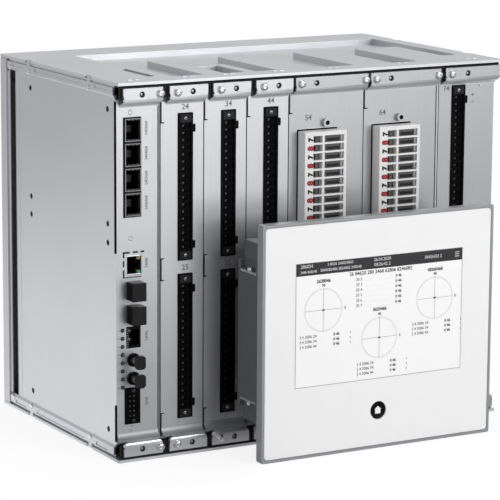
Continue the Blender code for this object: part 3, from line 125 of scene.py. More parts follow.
def blend(tree, share, first, second):
    """Goes from the first shader to the second as the share goes from 0 to 1."""
    made = add_node(tree, "ShaderNodeMixShader")
    for socket, source in enumerate((share, first, second)):
        link(tree, source, made.inputs[socket])
    return made.outputs[0]


def grey(value):
    return (value, value, value, 1.0)


surround = bpy.data.worlds.new("surround")
surround.use_nodes = True
tree = surround.node_tree
tree.nodes.clear()
heading = add_node(tree, "ShaderNodeTexCoord")
direction = add_node(tree, "ShaderNodeSeparateXYZ")
link(tree, heading.outputs["Generated"], direction.inputs[0])
overhead = rescale(tree, direction.outputs["Z"], SKY_RISE, SKY_RISE_TONE)
ahead = rescale(tree, direction.outputs["Y"], SKY_AHEAD, SKY_AHEAD_TONE)
path = add_node(tree, "ShaderNodeLightPath")
sky_tone = add_node(tree, "ShaderNodeMix", data_type="FLOAT")
link(tree, path.outputs["Is Glossy Ray"], sky_tone.inputs[0])
link(tree, overhead, sky_tone.inputs[2])
link(tree, combine(tree, "MULTIPLY", overhead, ahead), sky_tone.inputs[3])
open_sky = add_node(tree, "ShaderNodeBackground")
link(tree, sky_tone.outputs[0], open_sky.inputs["Color"])
soft_sky = add_node(tree, "ShaderNodeBackground")
soft_sky.inputs["Strength"].default_value = SKY_FILL
link(tree, overhead, soft_sky.inputs["Color"])
seen_or_glossy = combine(tree, "MAXIMUM", path.outputs["Is Camera Ray"], path.outputs["Is Glossy Ray"])
seen_directly = combine(tree, "MAXIMUM", seen_or_glossy, path.outputs["Is Transmission Ray"])
ground = add_node(tree, "ShaderNodeOutputWorld")
link(tree, blend(tree, seen_directly, soft_sky.outputs[0], open_sky.outputs[0]), ground.inputs[0])
bpy.context.scene.world = surround

floor_look = bpy.data.materials.new("floor_pale")
floor_look.use_nodes = True
tree = floor_look.node_tree
tree.nodes.clear()
plain = add_node(tree, "ShaderNodeBsdfDiffuse")
plain.inputs["Color"].default_value = grey(FLOOR_PLAIN)
shaded = add_node(tree, "ShaderNodeBsdfDiffuse")
shaded.inputs["Color"].default_value = grey(FLOOR_SHADED)
glow = add_node(tree, "ShaderNodeEmission")
glow.inputs["Strength"].default_value = FLOOR_GLOW
near = add_node(tree, "ShaderNodeAddShader")
link(tree, shaded.outputs[0], near.inputs[0])
link(tree, glow.outputs[0], near.inputs[1])
white = add_node(tree, "ShaderNodeEmission")
heading = add_node(tree, "ShaderNodeTexCoord")
reach = add_node(tree, "ShaderNodeVectorMath", operation="LENGTH")
link(tree, heading.outputs["Object"], reach.inputs[0])
fade = rescale(tree, reach.outputs["Value"], SHADOW_SPAN, interpolation_type="SMOOTHSTEP")
seen = blend(tree, fade, near.outputs[0], white.outputs[0])

# In mirror-like surfaces the floor brightens away from the front, and dims behind and to the right.
place = add_node(tree, "ShaderNodeSeparateXYZ")
link(tree, heading.outputs["Object"], place.inputs[0])
depth = rescale(tree, place.outputs["Y"], (-MIRROR_REACH, MIRROR_REACH))
bands = add_node(tree, "ShaderNodeValToRGB")
bands.color_ramp.elements[0].color = grey(MIRROR_BANDS[0][1])
bands.color_ramp.elements[1].color = grey(MIRROR_BANDS[-1][1])
for y, value in MIRROR_BANDS[1:-1]:
    stop = bands.color_ramp.elements.new((y + MIRROR_REACH) / (2 * MIRROR_REACH))
    stop.color = grey(value)
link(tree, depth, bands.inputs[0])
mirror = add_node(tree, "ShaderNodeEmission")
link(tree, bands.outputs["Color"], mirror.inputs["Color"])
link(tree, rescale(tree, place.outputs["X"], MIRROR_SIDE, MIRROR_SIDE_TONE), mirror.inputs["Strength"])
path = add_node(tree, "ShaderNodeLightPath")
unseen = blend(tree, path.outputs["Is Glossy Ray"], plain.outputs[0], mirror.outputs[0])
ground = add_node(tree, "ShaderNodeOutputMaterial")
link(tree, blend(tree, path.outputs["Is Camera Ray"], unseen, seen), ground.inputs[0])

bm = bmesh.new()
bmesh.ops.create_grid(bm, x_segments=1, y_segments=1, size=FLOOR_REACH)
bmesh.ops.translate(bm, verts=bm.verts, vec=(0.0, 0.0, -FLOOR_DROP * MM))
floor_mesh = bpy.data.meshes.new("floor")
bm.to_mesh(floor_mesh)
bm.free()
floor_mesh.materials.append(floor_look)
floor = bpy.data.objects.new("floor", floor_mesh)
bpy.context.scene.collection.objects.link(floor)


def soft_lamp(name, place, aim, width, height, power):
    lamp = bpy.data.lights.new(name, "AREA")
    lamp.shape = "RECTANGLE"
    lamp.size = width
    lamp.size_y = height
    lamp.energy = power
    obj = bpy.data.objects.new(name, lamp)
    obj.location = place
    obj.rotation_euler = (Vector(place) - Vector(aim)).to_track_quat("Z", "Y").to_euler()
    bpy.context.scene.collection.objects.link(obj)


soft_lamp("lamp_front", (0.78, -2.05, 0.78), (0.0, 0.0, 0.13), 1.15, 1.1, 22.5)
soft_lamp("lamp_left", (-2.0, -0.3, 0.45), (-0.1, 0.0, 0.10), 1.2, 0.8, 4.0)
soft_lamp("lamp_top", (0.3, 0.3, 2.0), (0.0, 0.0, 0.2), 1.6, 1.6, 11.5)

# Case covers
# Two folded sheets of zinc-coated steel close the case at the top and the bottom, with pressed
# panels. Pairs of small tabs, lanced up near the front edge, hold the modules' guides inside.
TAB_PLACES = (18.0, 60.0, 92.0, 132.0, 177.0, 235.0, 295.0)
TAB_SPACING = 5.6
TAB_BACK = 12.0
TAB_SIZE = (4.2, 0.9, 1.0)
TAB_TWIST = 0.12
TAB_SLOT = ((-2.0, 0.5, -0.1), (2.0, 1.6, 0.03))
GRAIN_LINES, GRAIN_CLOUDS = 900.0, 14.0

case_left, case_front, floor_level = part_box("bottom_cover")[0]
case_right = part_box("top_cover")[1].x
case_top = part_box("top_cover")[1].z
case_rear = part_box("rear_plate")[1].y


def new_finish(name, shine):
    """A new material: itself, its tree, its shader and the point that its patterns follow."""
    look = bpy.data.materials.new(name)
    look.use_nodes = True
    tree = look.node_tree
    shader = tree.nodes["Principled BSDF"]
    shader.inputs["Specular IOR Level"].default_value = shine
    heading = add_node(tree, "ShaderNodeTexCoord")
    return look, tree, shader, heading.outputs["Object"]


def speckle(tree, point, scale, detail=2.0):
    """A cloudy pattern of values about 0.5, finer as the scale grows."""
    made = add_node(tree, "ShaderNodeTexNoise")
    made.inputs["Scale"].default_value = scale
    made.inputs["Detail"].default_value = detail
    link(tree, point, made.inputs["Vector"])
    return made.outputs["Fac"]


def colour_between(tree, shader, share, low, high):
    """Colours the shader between two colours, as the share goes from 0 to 1."""
    mix = add_node(tree, "ShaderNodeMix", data_type="RGBA")
    mix.inputs[6].default_value = (*low, 1.0)
    mix.inputs[7].default_value = (*[min(1.0, part) for part in high], 1.0)
    link(tree, share, mix.inputs[0])
    link(tree, mix.outputs[2], shader.inputs["Base Color"])


def surface_grain(tree, shader, pattern, gloss_span, strength, depth):
    """Varies the roughness with a pattern and raises it as a fine relief."""
    link(tree, rescale(tree, pattern, (0.0, 1.0), gloss_span), shader.inputs["Roughness"])
    relief = add_node(tree, "ShaderNodeBump")
    relief.inputs["Strength"].default_value = strength
    relief.inputs["Distance"].default_value = depth * MM
    link(tree, pattern, relief.inputs["Height"])
    link(tree, relief.outputs[0], shader.inputs["Normal"])


def metal_finish(name, colour, roughness, metallic, grain, tone=0.05, shine=0.5):
    """Sheet or wire metal: long fine grain in one direction, and slow cloudy tone."""
    look, tree, shader, point = new_finish(name, shine)
    shader.inputs["Metallic"].default_value = metallic
    lay = add_node(tree, "ShaderNodeMapping")
    lay.inputs["Scale"].default_value = grain
    link(tree, point, lay.inputs["Vector"])
    lines = speckle(tree, lay.outputs[0], GRAIN_LINES, 3.0)
    clouds = speckle(tree, point, GRAIN_CLOUDS, 4.0)
    shade = rescale(tree, combine(tree, "ADD", lines, clouds), (0.7, 1.3))
    darker, lighter = [[part * (1.0 + change) for part in colour] for change in (-tone, tone)]
    colour_between(tree, shader, shade, darker, lighter)
    surface_grain(tree, shader, lines, (roughness - 0.05, roughness + 0.05), 0.25, 0.02)
    return look


def dress(look, *nodes):
    """Gives CAD nodes their finish."""
    for node in nodes:
        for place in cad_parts[node].material_slots:
            place.material = look


def soften(width, *nodes, sharper_than=50):
    """Rounds the edges of CAD nodes, as a mould, a bend or a deburred cut leaves them."""
    for node in nodes:
        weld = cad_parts[node].modifiers.new("joined_corners", "WELD")
        weld.merge_threshold = 0.001 * MM
        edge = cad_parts[node].modifiers.new("round_edges", "BEVEL")
        edge.width = width * MM
        edge.segments = 2
        edge.limit_method = "ANGLE"
        edge.angle_limit = math.radians(sharper_than)
        edge.harden_normals = False


def shifted(base, x, y, z):
    """The point that lies x, y and z millimetres from a base point."""
    return Vector(base) + Vector((x, y, z)) * MM


def round_off(bm, edges, radius, segments=2):
    """Rounds edges by a radius in millimetres."""
    bmesh.ops.bevel(
        bm, geom=edges, offset=radius * MM, segments=segments, profile=0.5, affect="EDGES", material=-1
    )


def block(bm, low, high, rounding=0.0, turn=None):
    """A block between two corners, its edges rounded, and turned about its middle if asked."""
    low, high = Vector(low), Vector(high)
    place = Matrix.Translation((low + high) / 2)
    if turn is not None:
        place = place @ turn
    made = bmesh.ops.create_cube(bm, size=1.0, matrix=place @ Matrix.Diagonal((*(high - low), 1.0)))
    if rounding:
        round_off(bm, list({edge for vert in made["verts"] for edge in vert.link_edges}), rounding)


def block_at(bm, base, span, rounding=0.0, turn=None):
    """A block that spans two offsets in millimetres from a base point."""
    block(bm, shifted(base, *span[0]), shifted(base, *span[1]), rounding, turn)


def fit_piece(name, bm, look, body="root", round_sides=False):
    """Makes the finished piece with its finish and fixes it to its body."""
    bmesh.ops.recalc_face_normals(bm, faces=bm.faces)
    mesh = bpy.data.meshes.new(name)
    bm.to_mesh(mesh)
    bm.free()
    mesh.materials.append(look)
    if round_sides:
        mesh.shade_smooth()
        mesh.set_sharp_from_angle(angle=math.radians(32))
    piece = bpy.data.objects.new(name, mesh)
    bpy.context.scene.collection.objects.link(piece)
    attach(piece, body)
    return piece


cover_sheet = metal_finish("cover_sheet", (0.585, 0.59, 0.615), 0.42, 0.8, (0.05, 1.0, 1.0))
dress(cover_sheet, "top_cover", "bottom_cover")
# The dark film behind each tab is painted shade, standing in for the opening that the lanced tab leaves.
slot_shade_dark = metal_finish("slot_shade_dark", (0.05, 0.05, 0.052), 0.6, 0.0, (1.0, 1.0, 1.0), shine=0.1)
tabs = bmesh.new()
slots = bmesh.new()
half_tab = Vector(TAB_SIZE) * MM / 2
for tab_x in TAB_PLACES:
    for shift in (-TAB_SPACING / 2, TAB_SPACING / 2):
        middle = Vector((case_left + (tab_x + shift) * MM, case_front + TAB_BACK * MM, case_top))
        block(tabs, middle - half_tab, middle + half_tab, 0.25, Matrix.Rotation(TAB_TWIST, 4, "Y"))
        block_at(slots, middle, TAB_SLOT)
fit_piece("cover_tabs", tabs, cover_sheet)
fit_piece("tab_slot_shade", slots, slot_shade_dark)

# Side and rear walls
# Folded zinc-coated sheets. Each side has a proud band along its long edges, riveted below the
# cover's lugs, and the rear is a tray held by a screw near each corner and carries the earth stud.
RIVET_PLACES = (47.0, 146.0, 178.0)
RIVET_HEIGHT = 8.2
RIVET_R = 1.9
SHEET_INSET = 1.42
ROLL_R, ROLL_SHEET = 11.0, 0.5
ROLL_START = 165.0
ROLL_TURN, ROLL_STEPS = math.radians(64.0), 8
RETURN_END = 11.0
RETURN_WIDTH = 3.4
RETURN_DEPTH = (1.0, 2.2)
TRAY_START = 184.0
REAR_SCREW_SIDE, REAR_SCREW_END = 12.0, 19.9
REAR_SCREW = (3.4, 2.4, 4.2)
EARTH_STUD = (38.0, 26.0)
EARTH_WASHER_R = 5.0
EARTH_NUT_R, EARTH_NUT_HEIGHT = 4.3, 3.4
THREAD_TURNS, THREAD_PITCH = 11, 0.7
THREAD_CREST_R, THREAD_ROOT_R = 2.4, 2.05
THREAD_END = [(1.8, 8.8), (0.0, 8.8)]
BACKWARD = (0.0, 1.0, 0.0)

side_sheet = metal_finish("side_sheet", (0.575, 0.58, 0.61), 0.33, 0.8, (1.0, 1.0, 0.05), tone=0.025)
dress(side_sheet, "side_plate_left", "side_plate_right")
rear_sheet = metal_finish("rear_sheet", (0.54, 0.54, 0.555), 0.40, 0.75, (0.05, 1.0, 1.0))
dress(rear_sheet, "rear_plate")


def turned(bm, centre, along, profile, sides=24):
    """A turned shape: (radius, distance) points in millimetres, spun about the line through centre."""
    centre = Vector(centre)
    along = Vector(along).normalized()
    side = along.orthogonal().normalized()
    fresh = set(bm.verts)
    verts = [bm.verts.new(centre + (side * radius + along * reach) * MM) for radius, reach in profile]
    edges = [bm.edges.new(pair) for pair in zip(verts, verts[1:])]
    bmesh.ops.spin(
        bm, geom=verts + edges, cent=centre, axis=along, angle=math.tau, steps=sides, use_merge=True
    )
    made = [vert for vert in bm.verts if vert not in fresh]
    bmesh.ops.remove_doubles(bm, verts=made, dist=0.0005 * MM)
    return centre, along


def screw_head(bm, seat, along, radius, rise, washer=0.0):
    """A pan head on its washer, with a six-lobed recess."""
    if washer:
        rim = [(0.0, -0.2), (washer, -0.2), (washer, 0.35), (washer - 0.2, 0.5), (0.0, 0.5)]
        turned(bm, seat, along, rim, 28)
        seat = Vector(seat) + Vector(along).normalized() * 0.5 * MM
    recess = radius * 0.46
    profile = [
        (0.0, rise - 1.1),
        (recess, rise - 1.0),
        (recess, rise),
        (radius * 0.62, rise - 0.02),
        (radius * 0.86, rise * 0.80),
        (radius, rise * 0.42),
        (radius, -0.1),
        (0.0, -0.1),
    ]
    fresh = set(bm.verts)
    centre, axis = turned(bm, seat, along, profile, 24)
    side = axis.orthogonal().normalized()
    across = axis.cross(side)
    for vert in bm.verts:
        if vert in fresh:
            continue
        out = vert.co - centre
        out -= axis * out.dot(axis)
        if abs(out.length - recess * MM) < 0.01 * MM:
            angle = math.atan2(out.dot(across), out.dot(side))
            vert.co += out * 0.17 * math.cos(6.0 * angle)


def push_outline(bm, corners, way):
    """Pushes a flat outline through along a way, into a closed solid."""
    face = bm.faces.new([bm.verts.new(corner) for corner in corners])
    pushed = bmesh.ops.extrude_face_region(bm, geom=[face])["geom"]
    verts = [item for item in pushed if isinstance(item, bmesh.types.BMVert)]
    bmesh.ops.translate(bm, verts=verts, vec=way)


zinc_screw = metal_finish("zinc_screw", (0.66, 0.66, 0.67), 0.24, 0.95, (1.0, 1.0, 1.0), tone=0.03)
side_walls = ((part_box("side_plate_left")[0].x, 1.0), (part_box("side_plate_right")[1].x, -1.0))
dome = [(0.0, -0.3), (RIVET_R, -0.3), (RIVET_R, 0.4), (RIVET_R * 0.75, 0.95), (0.0, 1.15)]
bm = bmesh.new()
for wall, inward in side_walls:
    for place in RIVET_PLACES:
        for height in (floor_level + RIVET_HEIGHT * MM, case_top - RIVET_HEIGHT * MM):
            turned(bm, (wall, case_front + place * MM, height), (-inward, 0.0, 0.0), dome, 16)
fit_piece("side_rivets", bm, zinc_screw, round_sides=True)

bm = bmesh.new()
tray = case_front + TRAY_START * MM
return_foot, return_top = floor_level + RETURN_END * MM, case_top - RETURN_END * MM
for wall, inward in ((case_left, 1.0), (case_right, -1.0)):
    near, far = sorted(wall + inward * reach * MM for reach in RETURN_DEPTH)
    block(bm, (near, tray - RETURN_WIDTH * MM, return_foot), (far, tray, return_top), 0.3)
fit_piece("tray_returns", bm, rear_sheet)

bm = bmesh.new()
for wall, inward in side_walls:
    arcs = []
    for radius in (ROLL_R, ROLL_R - ROLL_SHEET):
        arc = []
        for step in range(ROLL_STEPS + 1):
            angle = ROLL_TURN * step / ROLL_STEPS
            x = wall + inward * (SHEET_INSET + ROLL_R - radius * math.cos(angle)) * MM
            arc.append((x, case_front + (ROLL_START + radius * math.sin(angle)) * MM, return_foot))
        arcs.append(arc)
    push_outline(bm, arcs[0] + arcs[1][::-1], (0.0, 0.0, return_top - return_foot))
fit_piece("side_rolls", bm, side_sheet, round_sides=True)

bm = bmesh.new()
for x in (case_left + REAR_SCREW_SIDE * MM, case_right - REAR_SCREW_SIDE * MM):
    for z in (floor_level + REAR_SCREW_END * MM, case_top - REAR_SCREW_END * MM):
        screw_head(bm, (x, case_rear, z), BACKWARD, *REAR_SCREW)
fit_piece("rear_screws", bm, zinc_screw, round_sides=True)

brass = metal_finish("brass", (0.72, 0.55, 0.26), 0.28, 0.95, (1.0, 1.0, 1.0), tone=0.05)
bm = bmesh.new()
stud = Vector((case_right - EARTH_STUD[0] * MM, case_rear, floor_level + EARTH_STUD[1] * MM))
wide = EARTH_WASHER_R
turned(bm, stud, BACKWARD, [(0.0, -0.2), (wide, -0.2), (wide, 0.8), (wide - 0.2, 1.0), (0.0, 1.0)], 32)
nut_place = Matrix.Translation(shifted(stud, 0.0, 0.9 + EARTH_NUT_HEIGHT / 2, 0.0))
nut = bmesh.ops.create_cone(
    bm,
    cap_ends=True,
    segments=6,
    radius1=EARTH_NUT_R * MM,
    radius2=EARTH_NUT_R * MM,
    depth=EARTH_NUT_HEIGHT * MM,
    matrix=nut_place @ Matrix.Rotation(math.pi / 2, 4, "X"),
)
round_off(bm, list({edge for vert in nut["verts"] for edge in vert.link_edges}), 0.3)
thread = [(0.0, 1.0)]
for ring in range(THREAD_TURNS):
    crest = 1.0 + ring * THREAD_PITCH
    thread += [(THREAD_CREST_R, crest), (THREAD_ROOT_R, crest + THREAD_PITCH / 2)]
turned(bm, stud, BACKWARD, thread + THREAD_END, 20)
fit_piece("earth_stud", bm, brass, round_sides=True)

# Front rails and partitions
# Steel angles, coloured near black, run along under the covers and carry the modules' screws. Two plain
# sheets part the communication and power modules from the rest.
rail_near_black = metal_finish("rail_near_black", (0.008, 0.008, 0.009), 0.55, 0.0, (0.05, 1.0, 1.0), shine=0.15)
dress(rail_near_black, "rail_top", "rail_bottom")
partition_sheet = metal_finish("partition_sheet", (0.46, 0.46, 0.475), 0.42, 0.7, (1.0, 0.05, 1.0))
dress(partition_sheet, "partition_comm", "partition_power")

# Module plates
# Each plug-in module has a folded aluminium face with a satin natural finish, drawn along its
# height. Small round marks are pressed into it, and a threaded insert stands above each white block.
MODULES = ("comm", "io_1", "io_2", "io_3", "analog_1", "analog_2", "power")
SMALL_MODULES = MODULES[:4]
FACE = 6.0
FORWARD = (0.0, -1.0, 0.0)
PRESS_MARK_R = 2.0
PRESS_MARK_RISE = 0.6
PRESS_MARKS = (("comm", 11.5, 243.9), ("comm", 11.5, 156.8), ("comm", 11.5, 22.6), ("power", 36.4, 247.2))
EDGE_SLOTS = ((14.0, 40.0), (147.0, 252.0))
GAP_LINE = 0.25
GAP_END = 17.0
PARTITION_END = 14.0
BLOCK_GAP = 1.0
INSERT_X, INSERT_FACE, INSERT_Z = 30.2, 3.0, 227.2
INSERT_HOLE_R = 1.65

# Near black, for painted shade in gaps, slots and holes.
gap_shade_dark = metal_finish("gap_shade_dark", (0.004, 0.004, 0.004), 0.7, 0.0, (1.0, 1.0, 1.0), shine=0.05)
face_sheet = metal_finish("face_sheet", (0.575, 0.58, 0.605), 0.32, 0.72, (1.0, 1.0, 0.04), tone=0.03)
# The analogue and power plates take a darker copy of the face sheet: painted shade, darkening the plates
# towards the right.
face_sheet_painted_shade = metal_finish("face_sheet_painted_shade", (0.465, 0.47, 0.49), 0.32, 0.72, (1.0, 1.0, 0.04), tone=0.03)
for module in MODULES:
    dress(face_sheet if module in SMALL_MODULES else face_sheet_painted_shade, f"{module}_plate")
    soften(0.5, f"{module}_plate", sharper_than=25)


def on_module(module, x, y, z):
    """A point in millimetres from a module's left edge, the front of the covers and the floor."""
    return Vector((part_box(f"{module}_plate")[0].x + x * MM, case_front + y * MM, floor_level + z * MM))


dish = [
    (0.0, -0.2),
    (PRESS_MARK_R, -0.2),
    (PRESS_MARK_R, 0.05),
    (PRESS_MARK_R * 0.8, PRESS_MARK_RISE),
    (PRESS_MARK_R * 0.45, PRESS_MARK_RISE),
    (PRESS_MARK_R * 0.3, PRESS_MARK_RISE * 0.3),
    (0.0, PRESS_MARK_RISE * 0.2),
]
bm = bmesh.new()
for module, x, z in PRESS_MARKS:
    turned(bm, on_module(module, x, FACE, z), FORWARD, dish, 24)
fit_piece("press_marks", bm, face_sheet, round_sides=True)

# Dark films are painted shade in the gaps between the plates, in the comm plate's edge slots, in the
# inserts' holes and along the white blocks' left and top edges. A light strip is a partition's front edge.
gaps = bmesh.new()
edges = bmesh.new()
for left, right in zip(MODULES, MODULES[1:]):
    edge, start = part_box(f"{left}_plate")[1].x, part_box(f"{right}_plate")[0].x
    lines = ((edge, start),)
    if start - edge > 1.0 * MM:
        lines = ((edge, edge + GAP_LINE * MM), (start - GAP_LINE * MM, start))
        low = (edge + 0.5 * MM, case_front + (FACE - 0.25) * MM, floor_level + PARTITION_END * MM)
        high = (start - 0.5 * MM, case_front + (FACE + 1.0) * MM, case_top - PARTITION_END * MM)
        block(edges, low, high, 0.1)
    for x0, x1 in lines:
        low = (x0 - 0.2 * MM, case_front + (FACE - 0.03) * MM, floor_level + GAP_END * MM)
        block(gaps, low, (x1 + 0.2 * MM, case_front + (FACE + 1.0) * MM, case_top - GAP_END * MM))
for foot, top in EDGE_SLOTS:
    block(gaps, on_module("comm", -0.7, FACE - 0.05, foot), on_module("comm", 0.5, FACE + 1.2, top))
hole = [(0.0, -0.5), (INSERT_HOLE_R, -0.5), (INSERT_HOLE_R, 0.04), (0.0, 0.04)]
for module in ("analog_1", "analog_2"):
    turned(gaps, on_module(module, INSERT_X, INSERT_FACE, INSERT_Z), FORWARD, hole, 20)
    low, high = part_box(f"{module}_terminal")
    near, far = case_front + (FACE - 0.05) * MM, case_front + (FACE + 0.1) * MM
    gap = BLOCK_GAP * MM
    block(gaps, (low.x - gap, near, low.z), (low.x + gap, far, high.z + gap))
    block(gaps, (low.x - gap, near, high.z - gap), (high.x - 2 * gap, far, high.z + gap))
fit_piece("plate_gap_shade", gaps, gap_shade_dark)
fit_piece("partition_edges", edges, face_sheet)

# Flange tabs and bends
# The faces are joggled forward to their flanges. Each tab ends in a rounded lip, and a wide hollow
# bend, rougher than the face, leads from the face to the tab. The upper bends are painted lighter,
# as painted light, and the lower bends darker, as painted shade.
LIP_FRONT = -0.58
LIP_CORNER = 2.4
UPPER_LIP, UPPER_LIP_RIM = (0.6, 250.8, 253.6), 0.25
LOWER_LIP, LOWER_LIP_RIM = (1.4, 10.9, 13.7), 0.9
UPPER_BEND = (1.5, 17.6, ((0.4, 13.97), (0.4, 13.6), (5.2, 15.6), (6.4, 16.2)))
LOWER_BEND = (6.0, 20.3, ((2.6, 14.1), (6.4, 15.8)))
BEND_TURN, BEND_STEPS = math.radians(64.0), 12
BEND_INSET = 0.7


def lies_at(edge, axis, place):
    """Whether an edge lies flat at one place of an axis."""
    return all(abs(vert.co[axis] - place) < 0.01 * MM for vert in edge.verts)


def tab_lip(bm, low, high, upper):
    """A lip over a tab's end, with round corners at its free end and a soft rim in front."""
    fresh = set(bm.verts)
    end, root = (low.z, high.z) if upper else (high.z, low.z)
    block(bm, low, high)
    made = [edge for edge in bm.edges if not set(edge.verts) & fresh]
    corners = [edge for edge in made if lies_at(edge, 2, end) and not lies_at(edge, 1, edge.verts[0].co.y)]
    round_off(bm, corners, LIP_CORNER, 5)
    made = [edge for edge in bm.edges if not set(edge.verts) & fresh]
    rim = [edge for edge in made if lies_at(edge, 1, low.y) and not lies_at(edge, 2, root)]
    round_off(bm, rim, UPPER_LIP_RIM if upper else LOWER_LIP_RIM)


def tab_bend(bm, left, right, upper):
    """A hollow bend between two places across: its arc in front, then the line behind it."""
    radius, start, inner = UPPER_BEND if upper else LOWER_BEND
    section = []
    for step in range(BEND_STEPS + 1):
        angle = BEND_TURN * step / BEND_STEPS
        section.append((FACE - 0.03 - radius * (1.0 - math.cos(angle)), start - radius * math.sin(angle)))
    section += [*inner, (6.4, start)]
    corners = []
    for y, z in section:
        height = case_top - z * MM if upper else floor_level + z * MM
        corners.append((left, case_front + y * MM, height))
    push_outline(bm, corners, (right - left, 0.0, 0.0))


lips = bmesh.new()
# The analogue and power modules' lips take that darker copy too, as painted shade.
lips_painted_shade = bmesh.new()
upper_bends = bmesh.new()
lower_bends = bmesh.new()
case_middle = (floor_level + case_top) / 2
for module in MODULES:
    points = [vert.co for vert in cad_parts[f"{module}_plate"].data.vertices]
    plate_low, plate_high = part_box(f"{module}_plate")
    for upper in (True, False):
        reach = [co.x for co in points if co.y < case_front - 0.3 * MM and (co.z > case_middle) == upper]
        back, z0, z1 = UPPER_LIP if upper else LOWER_LIP
        low = Vector((min(reach), case_front + LIP_FRONT * MM, floor_level + z0 * MM))
        high = Vector((max(reach), case_front + back * MM, floor_level + z1 * MM))
        tab_lip(lips if module in SMALL_MODULES else lips_painted_shade, low, high, upper)
        if upper:
            tab_bend(upper_bends, low.x, high.x, True)
        else:
            tab_bend(lower_bends, plate_low.x + BEND_INSET * MM, plate_high.x - BEND_INSET * MM, False)
fit_piece("tab_lips", lips, face_sheet, round_sides=True)
fit_piece("tab_lips_painted_shade", lips_painted_shade, face_sheet_painted_shade, round_sides=True)
# Painted light: the upper bends take a lighter copy of the sheet. Painted shade: the lower bends take a
# darker one.
upper_bend_painted_light = metal_finish("upper_bend_painted_light", (0.70, 0.705, 0.73), 0.45, 0.4, (1.0, 1.0, 0.04), tone=0.03)
fit_piece("upper_bends", upper_bends, upper_bend_painted_light, round_sides=True)
lower_bend_painted_shade = metal_finish("lower_bend_painted_shade", (0.34, 0.345, 0.36), 0.50, 0.7, (1.0, 1.0, 0.04), tone=0.04)
fit_piece("lower_bends", lower_bends, lower_bend_painted_shade, round_sides=True)

# Flange screws and guide pins
# A pan head screw with a washer holds each corner of a module to the rail. The second hole of a
# flange shows the end of the rail's steel guide pin.
FLANGE_FACE = -0.5
FLANGE_MIDDLE = 8.5
FLANGE_SCREW = (2.7, 1.9, 3.1)
PIN_SINK = 1.6
SCREWS = {"comm": (30.9,), "io": (10.1,), "analog": (6.6, 59.3), "power": (7.3,)}
GUIDES = {"comm": 17.0, "io": 22.0, "analog": 18.9, "power": 21.1}

screws = bmesh.new()
pins = bmesh.new()
pin = [(0.0, -0.6), (1.25, -0.6), (1.25, 0.1), (0.9, 0.6), (0.0, 0.75)]
for module in MODULES:
    kind = module.split("_")[0]
    for z in (FLANGE_MIDDLE, (case_top - floor_level) / MM - FLANGE_MIDDLE):
        for x in SCREWS[kind]:
            screw_head(screws, on_module(module, x, FLANGE_FACE, z), FORWARD, *FLANGE_SCREW)
        turned(pins, on_module(module, GUIDES[kind], FLANGE_FACE + PIN_SINK, z), FORWARD, pin, 16)
fit_piece("flange_screws", screws, zinc_screw, round_sides=True)
pin_steel = metal_finish("pin_steel", (0.30, 0.30, 0.31), 0.35, 0.8, (1.0, 1.0, 1.0))
fit_piece("guide_pins", pins, pin_steel, round_sides=True)

# Printed marks
# Plain numbers in thin dark ink beside the sockets and strips, signs for the supply's poles, and a
# broken line round the network socket. The ink is a film just proud of the plate.
INK = 0.03
STRIP_NUMBER, SOCKET_NUMBER, LAMP_NUMBER = 4.0, 2.0, 1.9
NUMBER_WEIGHT, SMALL_NUMBER_WEIGHT = 0.08, 0.05
STRIP_NUMBER_X = {"io": 19.3, "power": 6.6}
STRIP_NUMBER_RISE = {"io": 4.3, "power": -2.0}
BLOCK_NUMBER_X, BLOCK_NUMBER_Z = 15.9, 231.2
SOCKET_NUMBER_X = 23.4
SIGN_X, SIGN_Z, SIGN_DROP = 29.6, 239.6, 5.4
BAYS = 4
LAMPS, LAMP_X, LAMP_PITCH = 8, 4.8, 5.77
LAMP_NUMBER_X = 1.9
LINE = 1.3
LINE_LEFT, LINE_RIGHT = 5.1, 21.0
LINE_BELOW, LINE_ABOVE = 8.4, 9.8


def number(bm, text, height, centre, turn=0.0, weight=0.0):
    """Adds a printed number, height millimetres tall and thickened by weight, facing the front."""
    figures = bpy.data.curves.new("figures", "FONT")
    figures.body = text
    figures.size = height / 0.72 * MM
    figures.extrude = INK / 2 * MM
    figures.offset = weight * MM
    figures.resolution_u = 3
    figures.align_x = "CENTER"
    figures.align_y = "CENTER"
    stamp = bpy.data.objects.new("figures", figures)
    mesh = bpy.data.meshes.new_from_object(stamp)
    upright = Matrix.Rotation(math.pi / 2, 4, "X") @ Matrix.Rotation(turn, 4, "Z")
    mesh.transform(Matrix.Translation(centre) @ upright)
    fresh = set(bm.verts)
    bm.from_mesh(mesh)
    made = [vert for vert in bm.verts if vert not in fresh]
    bmesh.ops.remove_doubles(bm, verts=made, dist=0.0005 * MM)
    bpy.data.objects.remove(stamp)
    bpy.data.curves.remove(figures)
    bpy.data.meshes.remove(mesh)


def dash(bm, low, high):
    """A printed stroke between two corners of a module's face."""
    block(bm, shifted(low, 0.0, -INK, 0.0), shifted(high, 0.0, INK / 2, 0.0))


def ink_finish(name, colour, roughness=0.5):
    """Screen-printed ink: slightly uneven cover over the sheet's grain."""
    look, tree, shader, point = new_finish(name, 0.25)
    shader.inputs["Roughness"].default_value = roughness
    thin = [part * 1.5 + 0.01 for part in colour]
    colour_between(tree, shader, speckle(tree, point, 1500.0), colour, thin)
    return look


def middle_height(node):
    """The height of a node's middle above the floor, in millimetres."""
    low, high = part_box(node)
    return ((low.z + high.z) / 2 - floor_level) / MM


